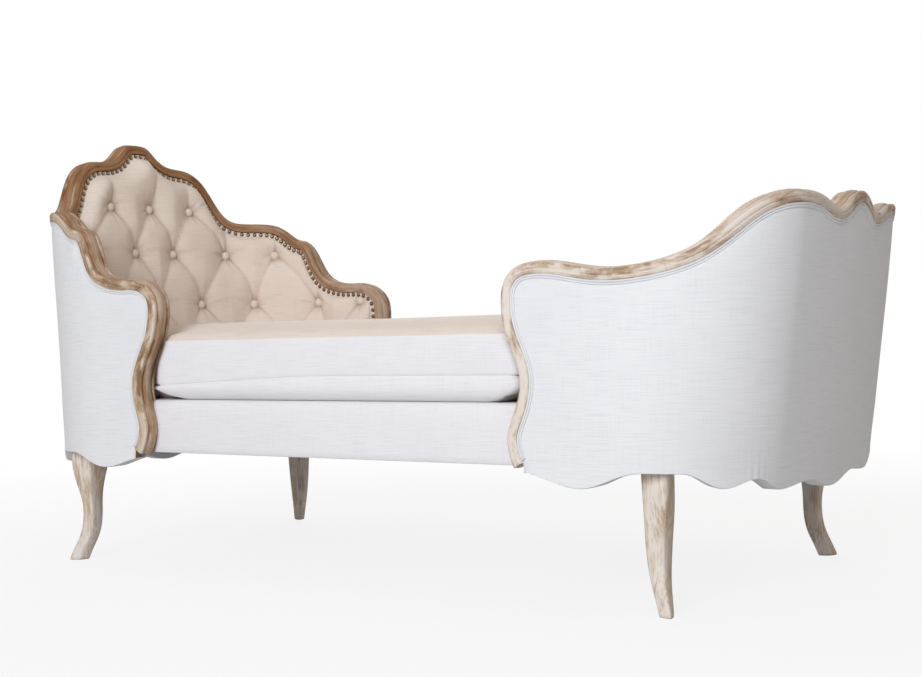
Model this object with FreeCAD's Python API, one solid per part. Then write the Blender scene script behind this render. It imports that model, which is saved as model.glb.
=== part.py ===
import FreeCAD, Part
import math
import os

from FreeCAD import Vector

# Double-ended recamier: two barrel-shaped upholstered ends joined by an open seat.
# Frame: X runs along the seat, head end at -X and foot end at +X; Y is the depth; Z is up.
# The origin is on the floor, under the middle of the object. Lengths in mm, angles in degrees.

# Plan of a barrel end, measured on the outer face at the reference height
REFERENCE_HEIGHT = 260.0
HEAD_BACK_X = 880.0
FOOT_BACK_X = 900.0
BACK_RADIUS = 1560.0
CORNER_RADIUS = 250.0
WING_HALF_WIDTH = 433.0
WING_LEAN = 3.5
HEAD_RAKE = 7.0
FOOT_RAKE = 8.3
POST_FRONT_X = 434.0

# Show-wood rail: section across and its moulding
RAIL_DEPTH = 49.0
RAIL_HEIGHT = 24.0
BEAD_WIDTH = 8.0
BEAD_SHOULDER = 7.0
BEAD_DROP = 1.5
COVE_DROP = 6.0
JOINT_LINE = 0.2

# Crest outlines: distance round the shell from its back centre, height of the wood's top
HEAD_CREST = [(0, 984), (32, 979), (62, 953), (95, 935), (150, 928), (198, 902), (234, 848),
              (268, 802), (320, 791), (392, 783), (436, 759), (462, 744), (492, 737),
              (516, 716), (538, 682), (562, 650), (602, 629)]
FOOT_CREST = [(0, 733), (36, 724), (88, 699), (145, 712), (205, 722), (262, 717), (304, 698),
              (350, 661), (398, 627), (450, 609), (520, 599), (590, 600)]
# Arm and front post: distance from the middle of the seat, height
HEAD_ARM = [(544, 622), (492, 619)]
FOOT_ARM = [(570, 609), (505, 615)]
POST_FRONT = [(458, 602), (439, 577), (434, 545), (447, 478), (475, 405), (465, 348), (451, 305),
              (455, 272), (466, 246)]
HEAD_CREST_JOINT = (95, 935)
HEAD_ARM_JOINT = (462, 744)
HEAD_POST_JOINT = (492, 619)
FOOT_CREST_JOINT = (88, 699)
FOOT_ARM_JOINT = (450, 609)
FOOT_POST_JOINT = (505, 615)
POST_BOTTOM = (466, 246)

# Scalloped lower edge of the shells: distance round the shell, height
SCALLOPS = [(0, 192), (112, 212), (205, 205), (286, 229), (350, 217), (432, 245), (500, 246),
            (613, 218), (735, 242)]

# Upholstery of the shells
COVER_SETBACK = 1.5
COVER_THICKNESS = 3.5
PAD_FACE = 85.0
PAD_ROLL = 14.0
PAD_ROLL_HEIGHT = 38.0
BACK_PANEL_HALF = 280.0
BUTTON_DIAMETER = 22.0
BUTTON_HEIGHT = 9.0
# Each button is drawn down into a pocket of the pad, so that the cushion slides past it
BUTTON_SINK = 7.0
POCKET_WALL = 0.5
# Share of the radius, height above the button's base
BUTTON_PROFILE = [(0.55, 0), (1.0, 3.5), (0.5, BUTTON_HEIGHT)]
BUTTON_FACETS = 8
BUTTON_ROWS = {
    "head": [(815, (0, 133)), (703, (65, 240, 384)), (575, (0, 145, 318, 542, 690))],
    "foot": [(592, (0, 133, 266)), (523, (65, 200, 384, 560))],
}

# Frame
APRON_THICKNESS = 28.0
APRON_FRONT_X = 491.0
APRON_TIP_GAP = 12.0
RAIL_TOP = 345.0
SEAT_RAIL_BOTTOM = 262.0
SEAT_RAIL_THICKNESS = 28.0
SEAT_RAIL_INSET = 55.0
STRETCHER_HEIGHT = 60.0
STRETCHER_SPACING = 460.0
STILE_WIDTH = 44.0
STILE_THICKNESS = 22.0
STILE_SETBACK = 3.0
STILE_PLACES = (195.0, 330.0, 560.0)
CLEARANCE = 0.3
LAYER_GAP = 0.8
EDGE_GAP = 1.6
BARREL_FACETS = 26
HALVINGS = 40

# Legs: cabriole, kicked out on the diagonal
LEG_FOOT_X = 733.0
LEG_FOOT_INSET = 58.0
LEG_KICK = 31.0
LEG_BOW = 0.58
LEG_HEIGHT = 243.0
LEG_STEPS = 12
LEG_FACE_POINTS = 4
BLOCK_SIZE = 82.0
BOLT_DIAMETER = 10.0
BOLT_LENGTH = 90.0
# Height, outward shift from the shaft, length on the diagonal, width across it
LEG_SECTIONS = [(0, 31, 43, 26), (26, 20, 42, 31), (55, 7, 42, 37), (95, 0, 42, 45),
                (135, 1, 46, 51), (170, 4, 60, 55), (205, 4, 76, 58), (LEG_HEIGHT, 2, 84, 60)]

# Seat
WEB_WIDTH = 50.0
WEB_THICKNESS = 2.0
CROSS_WEB_SPACING = 95.0
CROSS_WEB_COUNT = 13
LONG_WEB_SPACING = 130.0
LONG_WEB_COUNT = 5
DECK_THICKNESS = 11.0
DUST_COVER_THICKNESS = 1.0
RAIL_PAD_THICKNESS = 15.0
RAIL_COVER_THICKNESS = 3.0
RAIL_COVER_BOTTOM = 250.0
CUSHION_THICKNESS = 131.0
CUSHION_EAR_X = 430.0
CUSHION_EAR_INSET = 31.0
CUSHION_GAP = 3.0
CUSHION_WALL = 2.5
CUSHION_LOWER_TUCK = 26.0
CUSHION_LOWER_DEPTH = 42.0
CUSHION_CROWN = 12.0
EAR_RADIUS = 24.0

HEAD, FOOT = -1, 1
NEAR, FAR = -1, 1
SIDE_NAMES = {NEAR: "near", FAR: "far"}

# Heights and offsets that follow from the sizes above
WEB_TOP = RAIL_TOP + 2 * WEB_THICKNESS
APRON_TOP = RAIL_TOP + WEB_THICKNESS
DECK_TOP = WEB_TOP + DECK_THICKNESS
CUSHION_BOTTOM = DECK_TOP + CLEARANCE
COVER_INNER = -(COVER_SETBACK + COVER_THICKNESS)
APRON_OUTER = COVER_INNER - LAYER_GAP
APRON_INNER = APRON_OUTER - APRON_THICKNESS
PAD_BACK = APRON_INNER - LAYER_GAP
PANEL_DROP = RAIL_HEIGHT + EDGE_GAP
LEG_FOOT_Y = WING_HALF_WIDTH - LEG_FOOT_INSET
SEAT_RAIL_FACE = WING_HALF_WIDTH - SEAT_RAIL_INSET
CUSHION_EAR_Y = WING_HALF_WIDTH - CUSHION_EAR_INSET
LEG_TOP_X = LEG_FOOT_X - LEG_KICK / math.sqrt(2)
LEG_TOP_Y = LEG_FOOT_Y - LEG_KICK / math.sqrt(2)
RAIL_PAD_FACE = SEAT_RAIL_FACE + RAIL_PAD_THICKNESS
RAIL_COVER_FACE = RAIL_PAD_FACE + RAIL_COVER_THICKNESS


class BarrelEnd:
    """One upholstered end, laid out on its developed wall: s round the shell, z up."""

    def __init__(self, name, sign, back_x, rake, crest, arm):
        self.name = name
        self.sign = sign
        self.rake = math.tan(math.radians(rake))
        self.lean = math.tan(math.radians(WING_LEAN))
        inner = BACK_RADIUS - CORNER_RADIUS
        self.turn = math.asin((WING_HALF_WIDTH - CORNER_RADIUS) / inner)
        self.centre_x = back_x - BACK_RADIUS
        self.corner_x = self.centre_x + inner * math.cos(self.turn)
        self.arc_end = BACK_RADIUS * self.turn
        self.corner_end = self.arc_end + CORNER_RADIUS * (math.pi / 2 - self.turn)
        points = [Vector(-s, z, 0) for s, z in reversed(crest[1:4])]
        points += [Vector(s, z, 0) for s, z in crest]
        points += [self.wing_point(x, z) for x, z in arm + POST_FRONT]
        self.outline = Part.BSplineCurve()
        self.outline.interpolate(points)
        self.apex = self.parameter(*crest[0])

    def wing_s(self, x):
        return self.corner_end + self.corner_x - x

    def wing_point(self, x, z):
        return Vector(self.wing_s(x), z, 0)

    def plan(self, s):
        """Point, outward normal and tangent of the outer face at the reference height."""
        side = -1.0 if s < 0 else 1.0
        a = abs(s)
        if a <= self.arc_end:
            turn = a / BACK_RADIUS
            nx, ny = math.cos(turn), math.sin(turn)
            x, y = self.centre_x + BACK_RADIUS * nx, BACK_RADIUS * ny
        elif a <= self.corner_end:
            turn = self.turn + (a - self.arc_end) / CORNER_RADIUS
            nx, ny = math.cos(turn), math.sin(turn)
            x = self.corner_x + CORNER_RADIUS * nx
            y = WING_HALF_WIDTH - CORNER_RADIUS + CORNER_RADIUS * ny
        else:
            nx, ny = 0.0, 1.0
            x, y = self.corner_x - (a - self.corner_end), WING_HALF_WIDTH
        return (self.sign * x, side * y), (self.sign * nx, side * ny), (-self.sign * ny, side * nx)

    def slope(self, normal, upright):
        lean = 0.0 if upright else self.lean
        return self.rake * normal[0] ** 2 - lean * normal[1] ** 2

    def at(self, s, z, offset, upright=False):
        """Place on the shell: offset is outward from the leaning outer face."""
        (x, y), normal, _ = self.plan(s)
        d = offset + self.slope(normal, upright) * (z - REFERENCE_HEIGHT)
        return Vector(x + normal[0] * d, y + normal[1] * d, z)

    def edge(self, t, drop):
        """Developed place at a distance below the wood's top edge, square to the edge."""
        p = self.outline.value(t)
        tangent = self.outline.tangent(t)[0]
        return p.x + tangent.y * drop, p.y - tangent.x * drop

    def section_axes(self, t, side):
        """Top outer corner of the wood, and the outward and upward directions of its section."""
        p = self.outline.value(t)
        tangent = self.outline.tangent(t)[0]
        s = side * p.x
        _, normal, along = self.plan(s)
        out = Vector(normal[0], normal[1], 0)
        up = out * self.slope(normal, False) + Vector(0, 0, 1)
        across = Vector(along[0], along[1], 0) * (-tangent.y) + up * tangent.x
        return self.at(s, p.y, 0), out, across

    def rail_section(self, t, side):
        """Moulded section square to the outline, as a flat closed polygon."""
        origin, out, across = self.section_axes(t, side)
        return [origin + out * offset + across * height for offset, height in moulding()]

    def under_wood(self, t, side, offset):
        """Place just below the wood, where a panel's edge meets it."""
        origin, out, across = self.section_axes(t, side)
        return origin + out * offset - across * PANEL_DROP

    def parameter(self, s, z):
        return self.outline.parameter(Vector(s, z, 0))


def moulding():
    """Outer bead, cove, centre ridge, cove and inner bead, over square sides."""
    middle = RAIL_DEPTH / 2
    cove = (BEAD_WIDTH + middle) / 2
    half = [(0, -RAIL_HEIGHT), (0, -BEAD_SHOULDER), (-BEAD_WIDTH, -BEAD_DROP), (-cove, -COVE_DROP)]
    mirrored = [(-RAIL_DEPTH - offset, height) for offset, height in reversed(half)]
    return half + [(-middle, 0)] + mirrored


def closed(points):
    return Part.makePolygon(list(points) + [points[0]])


def sewn_solid(faces):
    shell = Part.Shell(faces)
    shell.sewShape()
    solid = Part.Solid(shell)
    if solid.Volume < 0:
        solid.reverse()
    return solid


def end_facets(ring):
    """Triangles across a closed ring, between its outer and its inner corners."""
    triangles = []
    last = len(ring) - 1
    for i in range(last // 2):
        a, b, c, d = ring[i], ring[i + 1], ring[last - 1 - i], ring[last - i]
        triangles.append((a, b, d))
        if b is not c:
            triangles.append((b, c, d))
    return triangles


def panel_solid(stations, outward):
    """Solid of flat facets along a run of flat polygons.

    Each strip folds along the diagonal that keeps it clear of the layer behind it.
    """
    triangles = end_facets(stations[0]) + end_facets(stations[-1])
    for a, b in zip(stations, stations[1:]):
        for i in range(len(a)):
            j = (i + 1) % len(a)
            rising, falling = (a[i] + b[j]) / 2, (a[j] + b[i]) / 2
            if (math.hypot(rising.x, rising.y) > math.hypot(falling.x, falling.y)) == outward:
                triangles += [(a[i], a[j], b[j]), (a[i], b[j], b[i])]
            else:
                triangles += [(a[i], a[j], b[i]), (a[j], b[j], b[i])]
    return sewn_solid([Part.Face(closed(triangle)) for triangle in triangles])


def steps(start, stop, count):
    return [start + (stop - start) * i / count for i in range(count + 1)]


def box(x, y, z, centre):
    shape = Part.makeBox(x, y, z, Vector(-x / 2, -y / 2, -z / 2))
    shape.translate(centre)
    return shape


def show_wood(end, side, start, stop, count):
    """One moulded length of the show-wood frame between two places on the outline."""
    t0 = end.parameter(*start)
    t1 = end.parameter(*stop)
    trim = (t1 - t0) * JOINT_LINE / 100
    return panel_solid([end.rail_section(t, side) for t in steps(t0 + trim, t1 - trim, count)],
                       True)


def crest_wood(end, joint, count):
    t1 = end.parameter(*joint)
    places = [(NEAR, t) for t in steps(t1, end.apex, count)]
    places += [(FAR, t) for t in steps(end.apex, t1, count)][1:]
    return panel_solid([end.rail_section(t, side) for side, t in places], True)


def scallop(s):
    """Height of the lower edge: smooth waves between the lobes and notches."""
    a = abs(s)
    for (s0, z0), (s1, z1) in zip(SCALLOPS, SCALLOPS[1:]):
        if a <= s1:
            return z0 + (z1 - z0) * (1 - math.cos(math.pi * (a - s0) / (s1 - s0))) / 2
    return SCALLOPS[-1][1]


def last_before(low, high, holds):
    """Where a condition that holds at low stops holding, by halving."""
    for _ in range(HALVINGS):
        middle = (low + high) / 2
        if holds(middle):
            low = middle
        else:
            high = middle
    return high


def edge_parameter(end, s, drop):
    """Place on the crest outline whose lower edge lies at a distance round the shell."""
    stop = end.parameter(*end.wing_point(*POST_FRONT[0])[:2])
    return last_before(end.apex, stop, lambda t: end.edge(t, drop)[0] < abs(s))


def post_parameter(end, height_at, z):
    """Place on the front post, below its bulge, where a height is reached."""
    start, stop = (end.parameter(*end.wing_point(*POST_FRONT[i])[:2]) for i in (2, -1))
    return last_before(start, stop, lambda t: height_at(t) > z)


def back_stations(end, count):
    """Upright stations across the back panel: side, place on the outline, lower s."""
    places = []
    for s in steps(-BACK_PANEL_HALF, BACK_PANEL_HALF, count):
        places.append((NEAR if s < 0 else FAR, edge_parameter(end, s, PANEL_DROP), s))
    return places


def side_stations(end, side, stop, tuck, count):
    """Stations of a side panel: upright round the corner, then fanning down behind the post."""
    start = edge_parameter(end, BACK_PANEL_HALF, PANEL_DROP)
    fan = edge_parameter(end, end.corner_end, PANEL_DROP)
    last_low = end.edge(stop, PANEL_DROP)[0] - tuck
    places = []
    for t in steps(start, stop, count):
        low = end.edge(t, PANEL_DROP)[0]
        if t > fan:
            low = end.corner_end + (last_low - end.corner_end) * (t - fan) / (stop - fan)
        places.append((side, t, side * low))
    return places


def cover_panel(end, stations):
    """Outside cover: a thin even skin just behind the face of the wood."""
    rings = []
    for side, t, s in stations:
        low = scallop(s)
        high_s, high_z = end.edge(t, PANEL_DROP)
        share = min((APRON_TOP - low) / (high_z - low), 0.5) if high_z > low else 0.5
        middle = (s + (side * high_s - s) * share, low + (high_z - low) * share)
        outer, inner = -COVER_SETBACK, COVER_INNER
        rings.append([end.at(s, low, outer), end.at(*middle, outer),
                      end.under_wood(t, side, outer), end.under_wood(t, side, inner),
                      end.at(*middle, inner), end.at(s, low, inner)])
    return panel_solid(rings, True)


def pad_panel(end, stations):
    """Inside pad: starts flush with the wood and rolls out to an upright inner face."""
    rings = []
    for side, t, s in stations:
        high_s, high_z = end.edge(t, PANEL_DROP)
        high_s *= side
        length = math.hypot(high_s - s, high_z - WEB_TOP)
        share = min(PAD_ROLL_HEIGHT / length, 0.5)
        roll = (high_s + (s - high_s) * share, high_z + (WEB_TOP - high_z) * share)
        rings.append([end.at(s, WEB_TOP, PAD_BACK), end.under_wood(t, side, PAD_BACK),
                      end.under_wood(t, side, -RAIL_DEPTH), end.at(*roll, -PAD_FACE, True),
                      end.at(s, WEB_TOP, -PAD_FACE, True)])
    return panel_solid(rings, False)


def apron(end, s_list):
    """Bandsawn base rail with the scalloped lower edge."""
    rings = []
    for s in s_list:
        low = scallop(s)
        rings.append([end.at(s, low, APRON_OUTER), end.at(s, APRON_TOP, APRON_OUTER),
                      end.at(s, APRON_TOP, APRON_INNER, True),
                      end.at(s, low, APRON_INNER, True)])
    return panel_solid(rings, False)


def stile(end, s):
    """Upright between the apron and the show-wood rail."""
    half = STILE_WIDTH / 2
    tops = [end.edge(edge_parameter(end, abs(s) + d, RAIL_HEIGHT), RAIL_HEIGHT)[1]
            for d in (-half, half)]
    top = min(tops) - CLEARANCE
    outer = APRON_OUTER - STILE_SETBACK
    inner = outer - STILE_THICKNESS
    wires = []
    for z in (APRON_TOP, top):
        wires.append(closed([end.at(s - half, z, outer), end.at(s + half, z, outer),
                             end.at(s + half, z, inner), end.at(s - half, z, inner)]))
    return Part.makeLoft(wires, True, True)


def barrel_curve(end, z, offset):
    """Level outline inside one end, from its near wing round to its far wing."""
    stations = steps(-end.corner_end, end.corner_end, BARREL_FACETS)
    return Part.makePolygon([end.at(s, z, offset, True) for s in stations])


def seat_outline(ends, z, inset, ear_x, ear_y):
    """Level outline of the seat: barrel ends, and ears between the posts."""
    offset = -PAD_FACE - inset
    neck_y = WING_HALF_WIDTH + offset
    cut = EAR_RADIUS * (1 - 1 / math.sqrt(2))
    edges = []
    for end in ends:
        curve = barrel_curve(end, z, offset)
        edges += curve.Edges
        for side in (NEAR, FAR):
            wing = end.at(side * end.corner_end, z, offset, True)
            neck = Vector(end.sign * ear_x, side * neck_y, z)
            ear = Vector(end.sign * ear_x, side * (ear_y - EAR_RADIUS), z)
            tip = Vector(end.sign * (ear_x - EAR_RADIUS), side * ear_y, z)
            middle = Vector(end.sign * (ear_x - cut), side * (ear_y - cut), z)
            edges.append(Part.makeLine(wing, neck))
            edges.append(Part.makeLine(neck, ear))
            edges.append(Part.Arc(ear, middle, tip).toShape())
    for side in (NEAR, FAR):
        edges.append(Part.makeLine(Vector(EAR_RADIUS - ear_x, side * ear_y, z),
                                   Vector(ear_x - EAR_RADIUS, side * ear_y, z)))
    return Part.Wire(Part.__sortEdges__(edges))


def level_slab(wire, thickness):
    return Part.Face(wire).extrude(Vector(0, 0, thickness))


def inside_frame(ends, offset, z, height, half_width):
    """Everything inside the two aprons, with straight sides between them."""
    edges = [edge for end in ends for edge in barrel_curve(end, z, offset).Edges]
    for side in (NEAR, FAR):
        corners = []
        for end in ends:
            wing = end.at(side * end.corner_end, z, offset, True)
            corners.append((wing, Vector(wing.x, side * half_width, z)))
        (a, b), (c, d) = corners
        if (a - b).Length > 1e-6:
            edges.append(Part.makeLine(a, b))
            edges.append(Part.makeLine(c, d))
        edges.append(Part.makeLine(b, d))
    return level_slab(Part.Wire(Part.__sortEdges__(edges)), height)


def cushion(ends, shrink):
    """Boxed cushion: tucked lower edge, straight boxing, softened and crowned top."""
    base = CUSHION_BOTTOM + shrink
    height = CUSHION_THICKNESS - 2 * shrink
    seam = base + CUSHION_LOWER_DEPTH
    edge = base + height - CUSHION_CROWN
    levels = [(base, CUSHION_LOWER_TUCK), (seam, 0), (edge, 0), (base + height, CUSHION_CROWN)]
    wires = []
    for z, tuck in levels:
        inset = tuck + shrink
        wires.append(seat_outline(ends, z, CUSHION_GAP + inset, CUSHION_EAR_X - inset,
                                  CUSHION_EAR_Y - inset))
    return Part.makeLoft(wires, True, True)


def leg_sizes():
    """Height, shift, length and width of the leg at even steps, smooth between its sections."""
    heights = [section[0] for section in LEG_SECTIONS]
    places, widths = Part.BSplineCurve(), Part.BSplineCurve()
    places.interpolate(Points=[Vector(z, shift, length) for z, shift, length, _ in LEG_SECTIONS],
                       Parameters=heights)
    widths.interpolate(Points=[Vector(z, width, 0) for z, _, _, width in LEG_SECTIONS],
                       Parameters=heights)
    return [tuple(places.value(z)) + (widths.value(z).y,)
            for z in steps(0, LEG_HEIGHT, LEG_STEPS)]


def leg(x_sign, y_sign):
    """Cabriole leg: four softly bowed faces between two arrises on the diagonal."""
    along = Vector(x_sign, y_sign, 0).normalize()
    across = Vector(-along.y, along.x, 0)
    axis = Vector(x_sign * LEG_TOP_X, y_sign * LEG_TOP_Y, 0)
    rings = []
    for z, shift, length, width in leg_sizes():
        centre = axis + along * shift + Vector(0, 0, z)
        tips = [along * (length / 2), across * (width / 2), along * (-length / 2),
                across * (-width / 2)]
        ring = []
        for a, b in zip(tips, tips[1:] + tips[:1]):
            bow = Part.Arc(centre + a, centre + (a + b) * LEG_BOW, centre + b)
            ring += bow.discretize(LEG_FACE_POINTS)[:-1]
        rings.append(ring)
    return panel_solid(rings, True)


def post_front_x(end, z):
    """Where the front edge of the post stands at a height below its bulge."""
    t = post_parameter(end, lambda t: end.outline.value(t).y, z)
    return end.wing_s(0) - end.outline.value(t).x


def rail_facing(ends, side, inner, thickness, bottom):
    """Flat layer over the seat rail, its ends shaped to the posts."""
    y = side * inner
    sides = []
    for end in ends:
        points = [Vector(end.sign * (post_front_x(end, z) - CLEARANCE), y, z)
                  for z in steps(bottom, WEB_TOP, 5)]
        curve = Part.BSplineCurve()
        curve.interpolate(points)
        sides.append((points, curve.toShape()))
    (first, left), (second, right) = sides
    edges = [left, right, Part.makeLine(first[0], second[0]), Part.makeLine(first[-1], second[-1])]
    face = Part.Face(Part.Wire(Part.__sortEdges__(edges)))
    return face.extrude(Vector(0, side * thickness, 0))


def bolt(x, y):
    return Part.makeCylinder(BOLT_DIAMETER / 2, BOLT_LENGTH,
                             Vector(x, y, LEG_HEIGHT - BOLT_LENGTH / 2))


def bolt_hole(x, y):
    return Part.makeCylinder(BOLT_DIAMETER / 2 + CLEARANCE / 2, BOLT_LENGTH + 2 * CLEARANCE,
                             Vector(x, y, LEG_HEIGHT - BOLT_LENGTH / 2 - CLEARANCE))


def button(end, pads, s, z):
    """Covered button, rounded below and domed above, and the pocket that it sits in."""
    _, normal, _ = end.plan(s)
    before = end.at(s, z, -PAD_FACE, True) - Vector(normal[0], normal[1], 0) * BUTTON_HEIGHT
    found = min((pad.distToShape(Part.Vertex(before)) for pad in pads), key=lambda f: f[0])
    face = found[1][0][0]
    inward = (before - face).normalize()
    turn = FreeCAD.Rotation(Vector(0, 0, 1), inward)
    corners = [2 * math.pi * i / BUTTON_FACETS for i in range(BUTTON_FACETS)]

    def ring(radius, lift):
        return [face + inward * lift + turn.multVec(
            Vector(radius * math.cos(a), radius * math.sin(a), 0)) for a in corners]

    radius = BUTTON_DIAMETER / 2
    rings = [ring(share * radius, height + CLEARANCE - BUTTON_SINK)
             for share, height in BUTTON_PROFILE]
    pocket = Part.Face(closed(ring(radius + POCKET_WALL, -BUTTON_SINK)))
    return panel_solid(rings, True), pocket.extrude(inward * (BUTTON_SINK + BUTTON_HEIGHT))


def build_end(end, crest_joint, arm_joint, post_joint):
    """Show wood, covers, pads, aprons, stiles and buttons of one barrel end."""
    name = end.name
    post_top = tuple(end.wing_point(*post_joint))[:2]
    post_foot = tuple(end.wing_point(*POST_BOTTOM))[:2]
    cover_stop = end.parameter(*post_foot)
    pad_stop = post_parameter(end, lambda t: end.edge(t, PANEL_DROP)[1], WEB_TOP + PAD_ROLL)
    apron_front = end.wing_s(APRON_FRONT_X + APRON_TIP_GAP)
    half = BACK_PANEL_HALF
    parts = {name + "_crest_rail": crest_wood(end, crest_joint, 8)}
    parts[name + "_outside_back"] = cover_panel(end, back_stations(end, 28))
    pads = {name + "_inside_back_pad": pad_panel(end, back_stations(end, 24))}
    parts[name + "_apron_back"] = apron(end, steps(-half, half, 20))
    for side, side_name in SIDE_NAMES.items():
        parts[f"{name}_shoulder_rail_{side_name}"] = show_wood(
            end, side, crest_joint, arm_joint, 26)
        parts[f"{name}_arm_rail_{side_name}"] = show_wood(end, side, arm_joint, post_top, 18)
        parts[f"{name}_post_{side_name}"] = show_wood(end, side, post_top, post_foot, 24)
        parts[f"{name}_outside_{side_name}"] = cover_panel(
            end, side_stations(end, side, cover_stop, 0, 48))
        pads[f"{name}_inside_pad_{side_name}"] = pad_panel(
            end, side_stations(end, side, pad_stop, PAD_ROLL, 44))
        parts[f"{name}_apron_{side_name}"] = apron(
            end, [side * s for s in steps(half, apron_front, 22)])
    parts[name + "_stiles"] = Part.makeCompound(
        [stile(end, side * s) for s in STILE_PLACES for side in (NEAR, FAR)])
    places = [(side * s, z) for z, row in BUTTON_ROWS[name] for s in row
              for side in ((NEAR, FAR) if s else (FAR,))]
    buttons, pockets = zip(*[button(end, list(pads.values()), s, z) for s, z in places])
    parts[name + "_buttons"] = Part.makeCompound(buttons)
    for pad_name, pad in pads.items():
        parts[pad_name] = pad.cut(pockets)
    return parts


def build_frame(ends):
    """Legs, blocks, rails, stretchers, webbing, deck and facings."""
    parts = {}
    corners = [(x_sign, y_sign) for x_sign in (HEAD, FOOT) for y_sign in (NEAR, FAR)]
    region = inside_frame(ends, APRON_INNER - CLEARANCE, LEG_HEIGHT, RAIL_TOP - LEG_HEIGHT,
                          WING_HALF_WIDTH + APRON_INNER - CLEARANCE)
    bolts, blocks = [], []
    for x_sign, y_sign in corners:
        x, y = x_sign * LEG_TOP_X, y_sign * LEG_TOP_Y
        end_name = ends[0].name if x_sign == HEAD else ends[1].name
        hole = bolt_hole(x, y)
        parts[f"{end_name}_leg_{SIDE_NAMES[y_sign]}"] = leg(x_sign, y_sign).cut(hole)
        block = box(BLOCK_SIZE, BLOCK_SIZE, RAIL_TOP - LEG_HEIGHT,
                    Vector(x, y, (RAIL_TOP + LEG_HEIGHT) / 2))
        blocks.append(block.common(region).cut(hole))
        bolts.append(bolt(x, y))
    parts["leg_blocks"] = Part.makeCompound(blocks)
    parts["leg_bolts"] = Part.makeCompound(bolts)
    rail_height = RAIL_TOP - SEAT_RAIL_BOTTOM
    rail_z = (RAIL_TOP + SEAT_RAIL_BOTTOM) / 2
    rail_length = 2 * LEG_TOP_X - BLOCK_SIZE
    rail_y = SEAT_RAIL_FACE - SEAT_RAIL_THICKNESS / 2
    for side, name in SIDE_NAMES.items():
        parts["seat_rail_" + name] = box(rail_length, SEAT_RAIL_THICKNESS, rail_height,
                                         Vector(0, side * rail_y, rail_z))
        parts["seat_rail_padding_" + name] = rail_facing(
            ends, side, SEAT_RAIL_FACE, RAIL_PAD_THICKNESS, SEAT_RAIL_BOTTOM)
        parts["seat_rail_cover_" + name] = rail_facing(
            ends, side, RAIL_PAD_FACE, RAIL_COVER_THICKNESS, RAIL_COVER_BOTTOM)
    for end in ends:
        parts[end.name + "_cross_rail"] = box(
            SEAT_RAIL_THICKNESS, 2 * LEG_TOP_Y - BLOCK_SIZE, rail_height,
            Vector(end.sign * LEG_TOP_X, 0, rail_z))
    inner_width = 2 * (SEAT_RAIL_FACE - SEAT_RAIL_THICKNESS)
    parts["seat_stretchers"] = Part.makeCompound([
        box(SEAT_RAIL_THICKNESS, inner_width, STRETCHER_HEIGHT,
            Vector(sign * STRETCHER_SPACING / 2, 0, SEAT_RAIL_BOTTOM + STRETCHER_HEIGHT / 2))
        for sign in (HEAD, FOOT)])
    first = -(CROSS_WEB_COUNT - 1) / 2
    parts["seat_webbing_cross"] = Part.makeCompound([
        box(WEB_WIDTH, 2 * SEAT_RAIL_FACE, WEB_THICKNESS,
            Vector((first + i) * CROSS_WEB_SPACING, 0, RAIL_TOP + WEB_THICKNESS / 2))
        for i in range(CROSS_WEB_COUNT)])
    reach = inside_frame(ends, (APRON_OUTER + APRON_INNER) / 2, APRON_TOP, WEB_THICKNESS,
                         WING_HALF_WIDTH + (APRON_OUTER + APRON_INNER) / 2)
    first = -(LONG_WEB_COUNT - 1) / 2
    parts["seat_webbing_long"] = Part.makeCompound([
        box(2.2 * FOOT_BACK_X, WEB_WIDTH, WEB_THICKNESS,
            Vector(0, (first + i) * LONG_WEB_SPACING, APRON_TOP + WEB_THICKNESS / 2)).common(reach)
        for i in range(LONG_WEB_COUNT)])
    parts["seat_deck"] = level_slab(
        seat_outline(ends, WEB_TOP, CLEARANCE, CUSHION_EAR_X, RAIL_COVER_FACE), DECK_THICKNESS)
    dust = inside_frame(ends, APRON_INNER - CLEARANCE, SEAT_RAIL_BOTTOM - DUST_COVER_THICKNESS,
                        DUST_COVER_THICKNESS, SEAT_RAIL_FACE)
    for x_sign, y_sign in corners:
        dust = dust.cut(box(BLOCK_SIZE + 2 * CLEARANCE, BLOCK_SIZE + 2 * CLEARANCE, BLOCK_SIZE,
                            Vector(x_sign * LEG_TOP_X, y_sign * LEG_TOP_Y, SEAT_RAIL_BOTTOM)))
    parts["dust_cover"] = dust
    return parts


def main():
    head = BarrelEnd("head", HEAD, HEAD_BACK_X, HEAD_RAKE, HEAD_CREST, HEAD_ARM)
    foot = BarrelEnd("foot", FOOT, FOOT_BACK_X, FOOT_RAKE, FOOT_CREST, FOOT_ARM)
    ends = [head, foot]
    parts = build_frame(ends)
    parts.update(build_end(head, HEAD_CREST_JOINT, HEAD_ARM_JOINT, HEAD_POST_JOINT))
    parts.update(build_end(foot, FOOT_CREST_JOINT, FOOT_ARM_JOINT, FOOT_POST_JOINT))
    core = cushion(ends, CUSHION_WALL + CLEARANCE)
    parts["cushion_core"] = core
    parts["cushion_cover"] = cushion(ends, 0).cut(cushion(ends, CUSHION_WALL))
    os.makedirs("parts", exist_ok=True)
    for name, shape in parts.items():
        shape.exportStep(os.path.join("parts", name + ".step"))
        print(name, len(shape.Solids), round(shape.Volume / 1000), shape.isValid())


main()
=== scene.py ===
import math

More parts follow.
